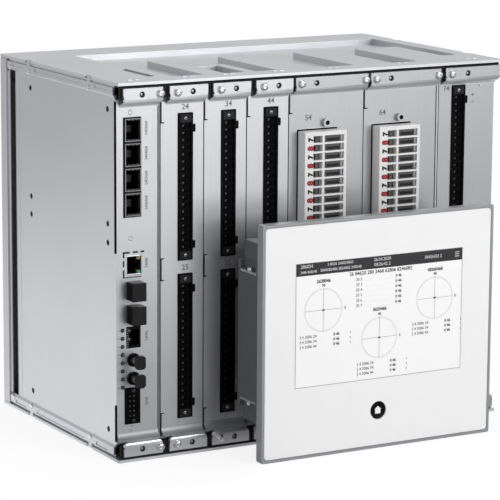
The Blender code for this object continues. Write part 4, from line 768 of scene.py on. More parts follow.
grey_ink = ink_finish("grey_ink", (0.10, 0.10, 0.11))
black_ink = ink_finish("black_ink", (0.012, 0.012, 0.013))
bm = bmesh.new()
for row, module in enumerate(MODULES[1:], start=2):
    kind = module.split("_")[0]
    if kind == "analog":
        place = on_module(module, BLOCK_NUMBER_X, FACE, BLOCK_NUMBER_Z)
        number(bm, f"{row}4", STRIP_NUMBER, place, weight=NUMBER_WEIGHT)
        continue
    for mark, strip in (("4", "upper"), ("5", "lower")):
        top = (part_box(f"{module}_terminal_{strip}")[1].z - floor_level) / MM
        place = on_module(module, STRIP_NUMBER_X[kind], FACE, top + STRIP_NUMBER_RISE[kind])
        number(bm, f"{row}{mark}", STRIP_NUMBER, place, weight=NUMBER_WEIGHT)
for drop, reach in ((0.0, 1.3), (SIGN_DROP, 0.25)):
    sign = on_module("power", SIGN_X, FACE, SIGN_Z - drop)
    dash(bm, shifted(sign, -1.5, 0.0, -0.25), shifted(sign, 1.5, 0.0, 0.25))
    dash(bm, shifted(sign, -0.25, 0.0, -reach), shifted(sign, 0.25, 0.0, reach))

cage_low, cage_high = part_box("transceiver_cage")
bay_pitch = (cage_high.z - cage_low.z) / BAYS / MM
cage_foot = (cage_low.z - floor_level) / MM
optic_low, optic_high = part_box("optical_sockets")
optic_pitch = (optic_high.z - optic_low.z) / 3 / MM
open_port = (optic_high.z - floor_level) / MM - 2.5 * optic_pitch
lan_middle = middle_height("lan_socket")
sync_middle = middle_height("sync_terminal")
lamp_top = middle_height("led_light_pipe") + (LAMPS - 1) / 2 * LAMP_PITCH
lamp_heights = [lamp_top - lamp * LAMP_PITCH for lamp in range(LAMPS)]
bay_marks = [f"240{bay + 3}068" for bay in range(BAYS)]
bay_heights = [cage_foot + (BAYS - bay - 0.5) * bay_pitch + 0.6 for bay in range(BAYS)]
socket_marks = [*zip(bay_marks, bay_heights)]
socket_marks += [("24086", lan_middle + 1.0), ("24096", open_port), ("2608", sync_middle + 2.0)]
for text, z in socket_marks:
    place = on_module("comm", SOCKET_NUMBER_X, FACE, z)
    number(bm, text, SOCKET_NUMBER, place, math.pi / 2, SMALL_NUMBER_WEIGHT)
for lamp, z in enumerate(lamp_heights, start=1):
    number(bm, str(lamp), LAMP_NUMBER, on_module("comm", LAMP_NUMBER_X, FACE, z), math.pi / 2)
fit_piece("plate_numbers", bm, grey_ink)

bm = bmesh.new()
line_foot, line_top = lan_middle - LINE_BELOW, lan_middle + LINE_ABOVE
for start, end in ((0.0, 5.6), (7.6, 12.0), (14.0, 18.2)):
    low = on_module("comm", LINE_LEFT, FACE, line_foot + start)
    dash(bm, low, shifted(low, LINE, 0.0, end - start))
for start, end in ((0.0, 5.4), (7.8, 11.6), (13.6, 16.6)):
    low = on_module("comm", LINE_LEFT + start, FACE, line_top - LINE)
    dash(bm, low, shifted(low, end - start, 0.0, LINE))
low = on_module("comm", LINE_LEFT, FACE, line_foot - 0.2)
dash(bm, low, shifted(low, LINE_RIGHT - LINE_LEFT - 1.5, 0.0, 0.7))
fit_piece("socket_line", bm, black_ink)

# Circuit boards, backplane and transformers
# Glass-epoxy boards with a green solder mask stand behind the plates and plug into one backplane.
# Varnished wound cores stand beside the analogue and power boards. They show only through slots.
def moulded_finish(name, colour, roughness, grain=1600.0, relief_depth=0.03, tone=0.06, shine=0.5):
    """Moulded plastic or varnish: a fine eroded grain and slight unevenness of tone and gloss."""
    look, tree, shader, point = new_finish(name, shine)
    grit = speckle(tree, point, grain)
    darker, lighter = [[part * (1.0 + change) for part in colour] for change in (-tone, tone)]
    colour_between(tree, shader, speckle(tree, point, 60.0), darker, lighter)
    surface_grain(tree, shader, grit, (max(0.02, roughness - 0.06), roughness + 0.06), 0.35, relief_depth)
    return look


board_mask = moulded_finish("board_mask", (0.02, 0.11, 0.055), 0.35, grain=420.0, tone=0.25)
dress(board_mask, "backplane", "panel_board", *[f"{module}_board" for module in MODULES])
core_varnish = moulded_finish("core_varnish", (0.25, 0.12, 0.05), 0.4, grain=300.0, relief_depth=0.2)
dress(core_varnish, "analog_1_transformers", "analog_2_transformers", "power_transformer")

# Transceiver bays
# A ganged metal cage holds four pluggable transceivers. Each bay has its own bright lip with spring
# fingers that earth the transceiver, and a black edge connector at the back.
BAY_LEFT, BAY_RIGHT = 6.8, 18.9
BAY_FRONT, BAY_LIP_BACK = 5.0, 8.0
BAY_LIP = 0.5
BAY_GAP = 0.75
FINGERS, FINGER_PITCH = 3, 3.2
FINGER = ((2.2, 0.6, -0.1), (4.2, 6.6, 0.1))
FINGER_LEAN = 0.09
CONNECTOR = ((9.6, 15.0, -3.2), (16.6, 47.8, 2.2))

cage_dark = metal_finish("cage_dark", (0.006, 0.006, 0.006), 0.55, 0.0, (1.0, 0.1, 1.0), shine=0.1)
dress(cage_dark, "transceiver_cage")


def square_tube(bm, low, high, wall):
    """A thin-walled square tube along Y between two corners, open at both ends."""
    corners = ((low.x, low.z), (high.x, low.z), (high.x, high.z), (low.x, high.z))
    mouth = bm.faces.new([bm.verts.new((x, low.y, z)) for x, z in corners])
    mouth.normal_update()
    rim = bmesh.ops.inset_region(
        bm, faces=[mouth], thickness=wall * MM, use_boundary=True, use_even_offset=True
    )["faces"]
    bmesh.ops.delete(bm, geom=[mouth], context="FACES_ONLY")
    pushed = bmesh.ops.extrude_face_region(bm, geom=rim)["geom"]
    verts = [item for item in pushed if isinstance(item, bmesh.types.BMVert)]
    bmesh.ops.translate(bm, verts=verts, vec=(0.0, high.y - low.y, 0.0))


lips = bmesh.new()
fingers = bmesh.new()
connectors = bmesh.new()
for bay in range(BAYS):
    foot = cage_foot + bay * bay_pitch + BAY_GAP
    top = cage_foot + (bay + 1) * bay_pitch - BAY_GAP
    far = on_module("comm", BAY_RIGHT, BAY_LIP_BACK, top)
    square_tube(lips, on_module("comm", BAY_LEFT, BAY_FRONT, foot), far, BAY_LIP)
    for finger in range(FINGERS):
        x = BAY_LEFT + finger * FINGER_PITCH
        for z, lean in ((top - BAY_LIP - 0.35, FINGER_LEAN), (foot + BAY_LIP + 0.35, -FINGER_LEAN)):
            root = on_module("comm", x, BAY_FRONT, z)
            block_at(fingers, root, FINGER, 0.05, Matrix.Rotation(lean, 4, "X"))
    block_at(connectors, on_module("comm", 0.0, 0.0, (foot + top) / 2), CONNECTOR, 0.3)
lip_tin = metal_finish("lip_tin", (0.26, 0.26, 0.265), 0.34, 0.9, (1.0, 0.2, 1.0), tone=0.04)
fit_piece("bay_lips", lips, lip_tin)
fit_piece("bay_fingers", fingers, lip_tin)
connector_grey = moulded_finish("connector_grey", (0.035, 0.035, 0.035), 0.4, shine=0.3)
fit_piece("bay_connectors", connectors, connector_grey)

# Network socket
# A shielded modular jack lies on its side behind the plate: eight gilt wires at the left, the latch
# slot at the right, and an amber and a green lamp in the corners beside the latch.
WIRES, WIRE_PITCH = 8, 1.02
WIRE, WIRE_SLOPE = ((9.3, 11.0, -0.18), (9.7, 19.0, 0.18)), -0.22
JACK_LAMPS = (("amber", 4.9, (0.22, 0.20, 0.06)), ("green", -4.9, (0.05, 0.22, 0.09)))
JACK_LAMP = ((16.2, 6.6, -1.1), (19.0, 8.4, 1.1))
SHIELD_EDGES = (-6.75, 6.1)
SHIELD = ((8.5, 6.3, 0.0), (19.3, 8.2, 0.65))

connector_black = moulded_finish("connector_black", (0.016, 0.016, 0.017), 0.4, shine=0.15)
dress(connector_black, "lan_socket", "panel_lan_socket")
gilt = metal_finish("gilt", (0.78, 0.56, 0.20), 0.25, 0.95, (1.0, 1.0, 1.0), tone=0.04)
bright_tin = metal_finish("bright_tin", (0.78, 0.78, 0.79), 0.30, 0.9, (1.0, 0.2, 1.0), tone=0.04)


def lamp_finish(name, colour, glow):
    """A clear tinted lens with a faint light of its own."""
    look = moulded_finish(name, colour, 0.15, grain=500.0, relief_depth=0.01)
    shader = look.node_tree.nodes["Principled BSDF"]
    shader.inputs["Emission Color"].default_value = (*colour, 1.0)
    shader.inputs["Emission Strength"].default_value = glow
    return look


jack = on_module("comm", 0.0, 0.0, lan_middle)
wire_shifts = [(wire - (WIRES - 1) / 2) * WIRE_PITCH for wire in range(WIRES)]
bm = bmesh.new()
for shift in wire_shifts:
    block_at(bm, shifted(jack, 0.0, 0.0, shift), WIRE, turn=Matrix.Rotation(WIRE_SLOPE, 4, "Z"))
fit_piece("socket_wires", bm, gilt)
for colour_name, rise, colour in JACK_LAMPS:
    name = f"socket_lamp_{colour_name}"
    bm = bmesh.new()
    block_at(bm, shifted(jack, 0.0, 0.0, rise), JACK_LAMP, 0.3)
    fit_piece(name, bm, lamp_finish(name, colour, 0.08))
bm = bmesh.new()
for rise in SHIELD_EDGES:
    block_at(bm, shifted(jack, 0.0, 0.0, rise), SHIELD, 0.15)
fit_piece("socket_shield", bm, bright_tin)

# Optical sockets and dust caps
# Three black moulded sockets stand in a row. The upper two are closed by square rubbery caps with
# ribbed sides, and the lowest is open, with two ferrules inside its frame.
CAP_RIBS, CAP_RIB_PITCH = 4, 1.8
CAP_BORDER = 2.2
FERRULE_X = 13.25
FERRULE_RISE = 3.1
SLEEVE_FRONT, FERRULE_FRONT = 12.0, 14.5
PORT_RIBS, PORT_RIB_PITCH = 9, 1.6
PORT_RIB = ((7.9, 5.0, -0.3), (8.8, 5.5, 0.3))

socket_black = moulded_finish("socket_black", (0.003, 0.003, 0.003), 0.42, shine=0.08)
dress(socket_black, "optical_sockets")
cap_rubber = moulded_finish("cap_rubber", (0.012, 0.012, 0.0125), 0.45, grain=900.0, shine=0.16)
dress(cap_rubber, "dust_cap_1", "dust_cap_2")
soften(0.45, "dust_cap_1", "dust_cap_2")
# The caps' side plates and ribs take the near black of the sockets, darker than the caps' faces: painted
# shade on the sides.
faces = bmesh.new()
sides = bmesh.new()
cap_root = case_front + (FACE - 0.5) * MM
for cap in ("dust_cap_1", "dust_cap_2"):
    low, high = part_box(cap)
    for x in (low.x, high.x):
        near, far = Vector((x, low.y, low.z)), Vector((x, cap_root, high.z))
        block(sides, shifted(near, -0.2, 1.3, 0.6), shifted(far, 0.2, 0.0, -0.6), 0.1)
        for rib in range(CAP_RIBS):
            y = 2.0 + rib * CAP_RIB_PITCH
            end = shifted((x, low.y, high.z), 0.5, y + 0.4, -1.4)
            end.y = min(end.y, cap_root)
            block(sides, shifted(near, -0.5, y - 0.4, 1.4), end, 0.2)
    near, far = shifted(low, CAP_BORDER, -0.25, CAP_BORDER), (high.x, low.y, high.z)
    block(faces, near, shifted(far, -CAP_BORDER, 0.6, -CAP_BORDER), 0.25)
fit_piece("cap_faces", faces, cap_rubber)
fit_piece("cap_sides_painted_shade", sides, socket_black)

sleeves = bmesh.new()
ferrules = bmesh.new()
sleeve = [(0.0, -9.0), (2.3, -9.0), (2.3, 0.0), (1.9, 0.3), (1.4, 0.3), (1.4, -3.0), (0.0, -3.0)]
ferrule = [(0.0, -4.0), (0.9, -4.0), (0.9, 2.0), (0.0, 2.2)]
for z in (open_port - FERRULE_RISE, open_port + FERRULE_RISE):
    turned(sleeves, on_module("comm", FERRULE_X, SLEEVE_FRONT, z), FORWARD, sleeve, 20)
    turned(ferrules, on_module("comm", FERRULE_X, FERRULE_FRONT, z), FORWARD, ferrule, 14)
fit_piece("port_sleeves", sleeves, connector_black, round_sides=True)
fit_piece("port_ferrules", ferrules, pin_steel, round_sides=True)
bm = bmesh.new()
for rib in range(PORT_RIBS):
    z = open_port + (rib - (PORT_RIBS - 1) / 2) * PORT_RIB_PITCH
    block_at(bm, on_module("comm", 0.0, 0.0, z), PORT_RIB, 0.1)
fit_piece("port_ribs", bm, lip_tin)

# Bayonet fibre ports and their caps
# Two nickel-plated barrels with bayonet lugs, each on a black washer and a nut. A dark eight-sided
# push-on cap closes the end of each.
BARREL_R = 2.7
BARREL_FOOT_R = 4.6
LUG = ((-0.4, -0.9, -0.8), (0.4, 0.9, 0.8))
CAP_HALF_WIDTH, CAP_HALF_HEIGHT = 3.7, 4.8
CAP_CUT = 1.5
CAP_DEPTH = 3.0
CAP_RIM, CAP_HOLLOW = 0.45, 0.6

nickel = metal_finish("nickel", (0.20, 0.20, 0.205), 0.34, 0.85, (1.0, 1.0, 1.0), tone=0.04)
barrel = [
    (0.0, 4.0),
    (1.3, 4.0),
    (1.3, 4.2),
    (BARREL_R - 0.3, 4.2),
    (BARREL_R, 3.9),
    (BARREL_R, 1.6),
    (BARREL_R - 0.35, 1.4),
    (BARREL_R - 0.35, -0.6),
    (BARREL_R, -0.8),
    (BARREL_R, -7.8),
    (BARREL_FOOT_R, -7.8),
    (BARREL_FOOT_R, -22.0),
    (0.0, -22.0),
]
washer = [(2.9, -5.7), (4.8, -5.7), (4.8, -4.6), (4.4, -4.2), (3.4, -4.2), (2.9, -4.7), (2.9, -5.7)]
half_cap = [
    (CAP_HALF_WIDTH, CAP_CUT - CAP_HALF_HEIGHT),
    (CAP_HALF_WIDTH, CAP_HALF_HEIGHT - CAP_CUT),
    (CAP_HALF_WIDTH - CAP_CUT, CAP_HALF_HEIGHT),
    (CAP_CUT - CAP_HALF_WIDTH, CAP_HALF_HEIGHT),
]
for port in ("1", "2"):
    low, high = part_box(f"fibre_port_{port}")
    centre = Vector(((low.x + high.x) / 2, case_front, (low.z + high.z) / 2))
    bm = bmesh.new()
    turned(bm, centre, FORWARD, barrel, 32)
    for side in (-1.0, 1.0):
        block_at(bm, shifted(centre, side * (BARREL_R + 0.3), -1.2, 0.0), LUG, 0.2)
    piece = fit_piece(f"barrel_{port}", bm, nickel, round_sides=True)
    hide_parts(f"fibre_port_{port}")
    bm = bmesh.new()
    turned(bm, centre, FORWARD, washer, 36)
    fit_piece(f"port_washer_{port}", bm, socket_black, round_sides=True)

    cap_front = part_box(f"fibre_cap_{port}")[0].y
    bm = bmesh.new()
    outline = half_cap + [(-x, -z) for x, z in half_cap]
    corners = [(centre.x + x * MM, cap_front, centre.z + z * MM) for x, z in outline]
    push_outline(bm, corners, (0.0, CAP_DEPTH * MM, 0.0))
    bmesh.ops.recalc_face_normals(bm, faces=bm.faces)
    rear = [face for face in bm.faces if face.normal.y > 0.9]
    bmesh.ops.inset_region(bm, faces=rear, thickness=CAP_RIM * MM, use_even_offset=True)
    hollow = list({vert for face in rear for vert in face.verts})
    bmesh.ops.translate(bm, verts=hollow, vec=(0.0, -CAP_HOLLOW * MM, 0.0))
    rim = [edge for edge in bm.edges if edge.is_manifold and edge.calc_face_angle(0.0) > 0.5]
    round_off(bm, [edge for edge in rim if min(v.co.y for v in edge.verts) < cap_front + 0.1 * MM], 0.35)
    piece = fit_piece(f"port_cap_{port}", bm, cap_rubber)
    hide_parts(f"fibre_cap_{port}")

# Signal lamps
# One clear light pipe behind the plate shows eight small domed lenses in a column.
lens_smoke = moulded_finish("lens_smoke", (0.03, 0.032, 0.034), 0.16, grain=500.0, relief_depth=0.01)
dress(lens_smoke, "led_light_pipe")
lens_dome = [(0.0, -0.2), (1.3, -0.2), (1.3, 0.1), (1.0, 0.5), (0.5, 0.7), (0.0, 0.75)]
bm = bmesh.new()
for z in lamp_heights:
    turned(bm, on_module("comm", LAMP_X, FACE - 0.5, z), FORWARD, lens_dome, 16)
fit_piece("lamp_domes", bm, lens_smoke, round_sides=True)

# Pluggable terminal strips
# Black moulded strips with a wire entry for each pole, thin ribs between the poles, a clamp screw in
# each and a fixing screw at each end. Coding keys stand at the right, and the small strip has five poles.
POLES, POLE_PITCH, FIRST_POLE = 18, 5.0, 9.0
CLAMP_X, CLAMP_Y = 4.8, 8.0
WIRE_WELL = ((7.0, 6.1, -1.5), (9.3, 6.6, 1.5))
POLE_RIB = ((1.6, 5.3, -2.85), (9.6, 6.6, -2.15))
STRIP_FACE = 5.0
END_SEAT = ((1.2, STRIP_FACE - 0.12, -2.8), (9.8, STRIP_FACE + 0.18, 2.8))
END_SCREW_RISE, END_SCREW_X = 3.6, 5.4
SMALL_SCREW = (1.2, 0.6)
SYNC_POLES, SYNC_PITCH = 5, 3.5
SYNC_X = 12.9
SYNC_WELL = ((8.0, STRIP_FACE - 0.1, -9.0), (17.0, STRIP_FACE + 0.2, 9.0))
SYNC_KEY = ((9.4, STRIP_FACE - 0.3, -0.5), (10.4, STRIP_FACE, 0.5))
SYNC_SCREW_RISE = 10.6

strip_black = moulded_finish("strip_black", (0.002, 0.002, 0.002), 0.42, shine=0.05)
# Near black for painted shade: films at the back of the wire entries and of the sync strip's well, and in
# place of the housing's cooling slots.
hole_shade_black = moulded_finish("hole_shade_black", (0.0015, 0.0015, 0.0015), 0.6, shine=0.04)
clamp_steel = metal_finish("clamp_steel", (0.07, 0.07, 0.072), 0.4, 0.8, (1.0, 1.0, 1.0))
end_grey = moulded_finish("end_grey", (0.014, 0.014, 0.0145), 0.45, shine=0.15)
dull_tin = metal_finish("dull_tin", (0.34, 0.34, 0.345), 0.34, 0.9, (1.0, 1.0, 1.0), tone=0.04)
with_strips = ("io_1", "io_2", "io_3", "power")
STRIPS = [f"{module}_terminal_{end}" for module in with_strips for end in ("upper", "lower")]
dress(strip_black, "sync_terminal", *STRIPS)

clamps = bmesh.new()
seats = bmesh.new()
end_screws = bmesh.new()
ribs = bmesh.new()
wells = bmesh.new()
clamp_head = [(0.0, -2.0), (1.1, -2.0), (1.1, 0.2), (0.8, 0.5), (0.35, 0.5), (0.3, 0.1), (0.0, 0.1)]
for strip in STRIPS:
    low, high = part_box(strip)
    for pole in range(POLES):
        base = Vector((low.x, case_front, low.z + (FIRST_POLE + pole * POLE_PITCH) * MM))
        turned(clamps, shifted(base, CLAMP_X, CLAMP_Y, 0.0), FORWARD, clamp_head, 12)
        block_at(wells, base, WIRE_WELL)
        if pole:
            block_at(ribs, base, POLE_RIB, 0.15)
    for z in (low.z + END_SCREW_RISE * MM, high.z - END_SCREW_RISE * MM):
        base = Vector((low.x, case_front, z))
        block_at(seats, base, END_SEAT)
        screw_head(end_screws, shifted(base, END_SCREW_X, STRIP_FACE, 0.0), FORWARD, *SMALL_SCREW)
sync = on_module("comm", 0.0, 0.0, sync_middle)
block_at(wells, sync, SYNC_WELL)
sync_head = [(0.0, -1.0), (0.65, -1.0), (0.65, 0.2), (0.0, 0.4)]
for pole in range(SYNC_POLES):
    z = (pole - (SYNC_POLES - 1) / 2) * SYNC_PITCH
    turned(clamps, shifted(sync, SYNC_X, STRIP_FACE, z), FORWARD, sync_head, 10)
    block_at(clamps, shifted(sync, 0.0, 0.0, z), SYNC_KEY, 0.1)
for z in (-SYNC_SCREW_RISE, SYNC_SCREW_RISE):
    screw_head(clamps, shifted(sync, SYNC_X, STRIP_FACE, z), FORWARD, *SMALL_SCREW)
fit_piece("pole_screws", clamps, clamp_steel, round_sides=True)
fit_piece("strip_screws", end_screws, dull_tin, round_sides=True)
fit_piece("strip_ribs", ribs, strip_black)
fit_piece("strip_ends", seats, end_grey)
fit_piece("wire_well_shade", wells, hole_shade_black)

# Analogue input blocks
# White stepped blocks with twenty-six rows: a test opening and a spring lever for each, behind thin
# white webs, and the row's number printed at the left, black and red by turns.
ROWS, ROW_PITCH = 26, 6.19
BLOCK_TOP_BORDER = 2.2
LEVERS = (((16.4, 0.9, -2.3), (29.6, 4.2, 2.3), 0.4), ((9.4, 2.0, -2.3), (12.4, 4.2, 2.3), 0.3))
# Dark patches of painted shade: a band across the lower part of each lever, and films in each test opening
# round the small lever.
ROW_SHADE_PATCHES = (((18.0, 0.8, -1.7), (28.8, 1.2, 0.4), 0.1), ((7.0, 2.9, -2.35), (14.1, 4.0, 2.35), 0.0))
CLIPS = (
    ((29.6, 0.7, -2.1), (31.2, 4.2, 2.1), 0.25),
    ((7.3, 1.8, -1.9), (8.1, 4.2, 1.9), 0.2),
    ((13.0, 1.8, -2.1), (14.0, 4.2, 2.1), 0.2),
)
ROW_MARK_X = 4.7
ROW_MARKS = (("7", 3.5, 0.44), ("8", 4.4, 0.48))

block_white = moulded_finish("block_white", (0.90, 0.895, 0.885), 0.42, shine=0.4)
lever_grey = moulded_finish("lever_grey", (0.065, 0.065, 0.066), 0.4, grain=700.0, tone=0.2)
# Near black, for the painted shade on the levers and in the test openings.
row_shade_grey = moulded_finish("row_shade_grey", (0.012, 0.012, 0.012), 0.45, shine=0.2)
clip_tin = metal_finish("clip_tin", (0.34, 0.34, 0.345), 0.30, 0.8, (1.0, 1.0, 1.0))
red_ink = ink_finish("red_ink", (0.31, 0.014, 0.022))
dress(block_white, "analog_1_terminal", "analog_2_terminal")
levers = bmesh.new()
row_shade_films = bmesh.new()
clips = bmesh.new()
marks = (bmesh.new(), bmesh.new())
for module in ("analog_1", "analog_2"):
    low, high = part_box(f"{module}_terminal")
    for row in range(ROWS):
        base = Vector((low.x, low.y, high.z - (BLOCK_TOP_BORDER + (row + 0.5) * ROW_PITCH) * MM))
        for sheet, shapes in ((levers, LEVERS), (row_shade_films, ROW_SHADE_PATCHES), (clips, CLIPS)):
            for *span, rounding in shapes:
                block_at(sheet, base, span, rounding)
        text, tall, weight = ROW_MARKS[row % 2]
        number(marks[row % 2], text, tall, shifted(base, ROW_MARK_X, 0.0, 0.0), math.pi / 2, weight)
fit_piece("row_levers", levers, lever_grey)
fit_piece("row_shade_patches", row_shade_films, row_shade_grey)
fit_piece("row_clips", clips, clip_tin)
fit_piece("row_sevens", marks[0], black_ink)
fit_piece("row_eights", marks[1], red_ink)

# Operator panel: bezel and glass
# A painted die-cast bezel holds a flush sheet of glass, printed white on its back, with a clear
# window over the display. The lit display shows a plain measuring page of dials and figures.
SCREEN_LEFT, SCREEN_RIGHT = 26.3, 163.9
SCREEN_FOOT, SCREEN_TOP = 50.8, 139.0
HEADER_FOOT = 130.1
FILM = 0.04
DIALS = (
    (48.7, 104.7, 15.0, "2638046", 125.2),
    (94.8, 80.4, 14.4, "3620468", 100.8),
    (140.8, 104.4, 15.0, "48260468", 125.0),
)
DIAL_LINE = 0.6
PAGE_TITLE = ("26 84620 280 2468 62806 8246082", 2.6, 95.5, 127.9)
WIDE_COLUMN, WIDE_ROWS, WIDE_ROW_PITCH = (74.6, 123.6), 6, 3.75
COLUMNS, COLUMN_ROWS, COLUMN_ROW_PITCH = ((30.0, 86.6), (122.5, 86.8), (77.0, 62.6)), 3, 3.5
HEADER_MARKS = (
    ("286024", 2.4, 35.0, 136.5),
    ("2486 868248", 1.8, 36.5, 132.6),
    ("2 8426 246824860", 2.0, 62.0, 136.6),
    ("2848682486 2824862 248248", 2.0, 62.5, 132.9),
    ("26.04.2028", 2.3, 96.5, 136.5),
    ("08:26:42 2", 2.3, 96.5, 132.9),
    ("28426422 2", 2.2, 139.0, 134.4),
)
MENU_LEFT, MENU_RIGHT, MENU_TOP = 157.5, 161.0, 136.0
MENU_BARS, MENU_PITCH = 3, 1.5
panel_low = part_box("panel_bezel")[0]
glass_face = (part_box("panel_glass")[0].y - panel_low.y) / MM


def on_panel(x, y, z):
    """A point in millimetres from the bezel's lower left front corner."""
    return shifted(panel_low, x, y, z)


def panel_film(bm, x0, z0, x1, z1, films=1):
    """A printed or lit patch on the glass, so many films proud of it."""
    block(bm, on_panel(x0, glass_face - films * FILM, z0), on_panel(x1, glass_face + 0.02, z1))


def panel_number(bm, text, height, x, z, weight=0.0, films=2):
    """A number printed on the page, so many films proud of the glass."""
    number(bm, text, height, on_panel(x, glass_face - films * FILM, z), weight=weight)


bezel_paint = moulded_finish("bezel_paint", (0.31, 0.316, 0.333), 0.36, grain=1100.0, shine=0.8)
dress(bezel_paint, "panel_bezel")
soften(0.8, "panel_bezel")
glass_white = moulded_finish("glass_white", (0.985, 0.985, 0.985), 0.09, relief_depth=0.0, tone=0.006)
dress(glass_white, "panel_glass")
display_dark = moulded_finish("display_dark", (0.05, 0.05, 0.055), 0.3)
dress(display_dark, "panel_display")
screen_white = moulded_finish("screen_white", (0.95, 0.95, 0.95), 0.10, relief_depth=0.0, tone=0.004)
screen_shader = screen_white.node_tree.nodes["Principled BSDF"]
screen_shader.inputs["Emission Color"].default_value = (1.0, 1.0, 1.0, 1.0)
screen_shader.inputs["Emission Strength"].default_value = 0.09
header_grey = ink_finish("header_grey", (0.028, 0.028, 0.030), 0.2)
line_grey = ink_finish("line_grey", (0.20, 0.20, 0.205), 0.2)
dial_grey = ink_finish("dial_grey", (0.72, 0.72, 0.725), 0.2)
pale_mark = ink_finish("pale_mark", (0.48, 0.48, 0.49), 0.2)

bm = bmesh.new()
panel_film(bm, SCREEN_LEFT, SCREEN_FOOT, SCREEN_RIGHT, SCREEN_TOP)
fit_piece("screen_page", bm, screen_white)
bm = bmesh.new()
panel_film(bm, SCREEN_LEFT, HEADER_FOOT, SCREEN_RIGHT, SCREEN_TOP, 2)
fit_piece("screen_header", bm, header_grey)
bm = bmesh.new()
panel_film(bm, SCREEN_LEFT, SCREEN_FOOT, SCREEN_RIGHT, SCREEN_FOOT + 0.35, 3)
panel_film(bm, SCREEN_LEFT, SCREEN_TOP - 0.3, SCREEN_RIGHT, SCREEN_TOP, 3)
panel_film(bm, SCREEN_LEFT, SCREEN_FOOT, SCREEN_LEFT + 0.35, SCREEN_TOP, 3)
panel_film(bm, SCREEN_RIGHT - 0.35, SCREEN_FOOT, SCREEN_RIGHT, SCREEN_TOP, 3)
fit_piece("screen_edge", bm, line_grey)

dials = bmesh.new()
axes = bmesh.new()
rules = bmesh.new()
figures = bmesh.new()
for x, z, radius, title, title_height in DIALS:
    inner, outer = radius - DIAL_LINE, radius + DIAL_LINE
    hoop = [(inner, -0.02), (outer, -0.02), (outer, 2 * FILM), (inner, 2 * FILM), (inner, -0.02)]
    turned(dials, on_panel(x, glass_face, z), FORWARD, hoop, 64)
    panel_film(axes, x - radius, z - 0.12, x + outer, z + 0.12, 2)
    panel_film(axes, x - 0.12, z - radius, x + 0.12, z + outer, 3)
    panel_film(figures, x - 0.9, z - 0.6, x + 0.9, z + 0.6, 4)
    panel_number(figures, "90", 2.0, x, z + radius + 2.4, 0.08)
    panel_number(figures, "0", 2.0, x + radius + 2.6, z, 0.05)
    panel_number(figures, title, 2.3, x, title_height, 0.12)
left, top = WIDE_COLUMN
for row in range(WIDE_ROWS):
    z = top - row * WIDE_ROW_PITCH
    panel_number(figures, f"20 {row + 2}", 2.1, left + 3.0, z, 0.02)
    panel_number(figures, "0 46", 2.0, left + 35.6, z, 0.1)
    panel_film(rules, left + 8.0, z - 1.5, left + 32.6, z - 1.35, 2)
for left, top in COLUMNS:
    for row in range(COLUMN_ROWS):
        z = top - row * COLUMN_ROW_PITCH
        panel_number(figures, f"4 2086 {row + 2}4", 2.1, left + 7.5, z, 0.02)
        panel_number(figures, "0 46", 2.0, left + 29.5, z, 0.1)
        panel_film(axes, left, z - 1.3, left + 0.6, z + 1.3, 2)
        panel_number(figures, "0", 1.6, left + 41.0, z)
panel_number(figures, *PAGE_TITLE, 0.08)
fit_piece("dial_hoops", dials, dial_grey, round_sides=True)
fit_piece("dial_axes", axes, line_grey)
fit_piece("page_rules", rules, dial_grey)
fit_piece("page_figures", figures, header_grey)

bm = bmesh.new()
for text, size, x, z in HEADER_MARKS:
    panel_number(bm, text, size, x, z, 0.05, 3)
for bar in range(MENU_BARS):
    z = MENU_TOP - bar * MENU_PITCH
    panel_film(bm, MENU_LEFT, z - 0.3, MENU_RIGHT, z + 0.3, 4)
fit_piece("header_marks", bm, pale_mark)

# Home button
# A round black push button stands in a hole in the glass, with a dished face and a raised rim. A
# small white house is printed in its middle, and both move with the button.
HOUSE_HALF, HOUSE_EAVES = 2.2, 0.6
HOUSE_FOOT, HOUSE_WALL, HOUSE_ROOF = -2.5, 0.6, 3.0
HOUSE_BACK, HOUSE_INK = 0.38, 0.18
button_low, button_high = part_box("home_button")
button_middle = (button_low + button_high) / 2
button_middle.y = button_low.y
stem_end = (button_high.y - button_low.y) / MM

button_black = moulded_finish(
    "button_black", (0.003, 0.003, 0.003), 0.3, grain=900.0, relief_depth=0.01, shine=0.12
)
button_shape = [
    (0.0, -0.35),
    (4.6, -0.25),
    (5.4, 0.0),
    (6.0, -0.02),
    (6.3, -0.3),
    (6.3, -2.05),
    (7.6, -2.05),
    (7.6, -3.45),
    (3.1, -3.45),
    (3.1, -stem_end),
    (0.0, -stem_end),
]
bm = bmesh.new()
turned(bm, button_middle, FORWARD, button_shape, 48)
piece = fit_piece("button_cap", bm, button_black, body="button", round_sides=True)
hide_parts("home_button")

house = [
    (-HOUSE_HALF, HOUSE_FOOT),
    (HOUSE_HALF, HOUSE_FOOT),
    (HOUSE_HALF, HOUSE_WALL),
    (HOUSE_HALF + HOUSE_EAVES, HOUSE_WALL),
    (0.0, HOUSE_ROOF),
    (-HOUSE_HALF - HOUSE_EAVES, HOUSE_WALL),
    (-HOUSE_HALF, HOUSE_WALL),
]
bm = bmesh.new()
push_outline(bm, [shifted(button_middle, x, HOUSE_BACK, z) for x, z in house], (0.0, -HOUSE_INK * MM, 0.0))
white_ink = ink_finish("white_ink", (0.95, 0.95, 0.95), 0.3)
fit_piece("house_mark", bm, white_ink, body="button")

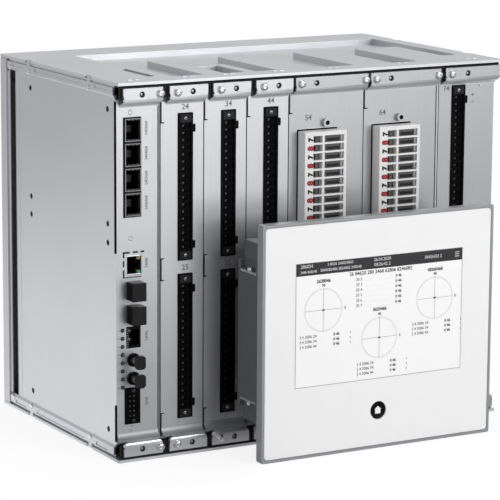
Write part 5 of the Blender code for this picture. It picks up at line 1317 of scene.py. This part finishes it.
# Panel housing
# A deep moulded tray behind the bezel. Its rear has a field of cooling slots, four corner screws and
# the mouth of the network socket, and each side has a raised pad for the clamps.
VENTS, VENT_PITCH, FIRST_VENT = 12, 6.0, 62.0
VENT_ROWS = (95.0, 118.0)
VENT = ((-1.2, -0.5, -8.5), (1.2, 0.05, 8.5))
HOUSING_SCREWS_X, HOUSING_SCREWS_Z = (12.5, 177.5), (31.0, 146.0)
HOUSING_SCREW = (2.4, 1.7, 3.0)
PANEL_WIRE, PANEL_WIRE_SLOPE = ((-0.18, -11.0, 2.0), (0.18, -3.0, 2.4)), -0.2

housing_grey = moulded_finish("housing_grey", (0.10, 0.104, 0.112), 0.48, grain=1100.0, shine=0.4)
dress(housing_grey, "panel_housing")
soften(0.6, "panel_housing")
housing_back = (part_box("panel_housing")[1].y - panel_low.y) / MM
# The cooling slots are dark films of painted shade.
bm = bmesh.new()
for z in VENT_ROWS:
    for vent in range(VENTS):
        block_at(bm, on_panel(FIRST_VENT + vent * VENT_PITCH, housing_back, z), VENT)
fit_piece("housing_vent_shade", bm, hole_shade_black)
bm = bmesh.new()
for x in HOUSING_SCREWS_X:
    for z in HOUSING_SCREWS_Z:
        screw_head(bm, on_panel(x, housing_back, z), BACKWARD, *HOUSING_SCREW)
fit_piece("housing_screws", bm, zinc_screw, round_sides=True)
bm = bmesh.new()
jack_low, jack_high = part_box("panel_lan_socket")
jack = Vector(((jack_low.x + jack_high.x) / 2, jack_high.y, jack_low.z))
lean = Matrix.Rotation(PANEL_WIRE_SLOPE, 4, "X")
for shift in wire_shifts:
    block_at(bm, shifted(jack, shift, 0.0, 0.0), PANEL_WIRE, turn=lean)
fit_piece("panel_socket_wires", bm, gilt)

# Clamps
# A bright steel bar lies at each end of the side pads, drawn up against the cut-out by one screw.
clamp_zinc = metal_finish("clamp_zinc", (0.60, 0.60, 0.61), 0.30, 0.9, (1.0, 0.2, 1.0))
CLAMPS = [f"clamp_{side}_{end}" for side in ("left", "right") for end in ("upper", "lower")]
dress(clamp_zinc, *CLAMPS)
soften(0.25, *CLAMPS)
knob = [(0.0, -1.6), (2.3, -1.6), (2.3, 0.1), (2.0, 0.5), (0.9, 0.55), (0.9, -0.3), (0.0, -0.3)]
bm = bmesh.new()
for clamp in CLAMPS:
    low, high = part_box(clamp)
    upward, tip = (1.0, high.z) if clamp.endswith("upper") else (-1.0, low.z)
    turned(bm, ((low.x + high.x) / 2, (low.y + high.y) / 2, tip), (0.0, 0.0, upward), knob, 20)
fit_piece("clamp_heads", bm, zinc_screw, round_sides=True)

bpy.context.scene.view_settings.view_transform = "Standard"
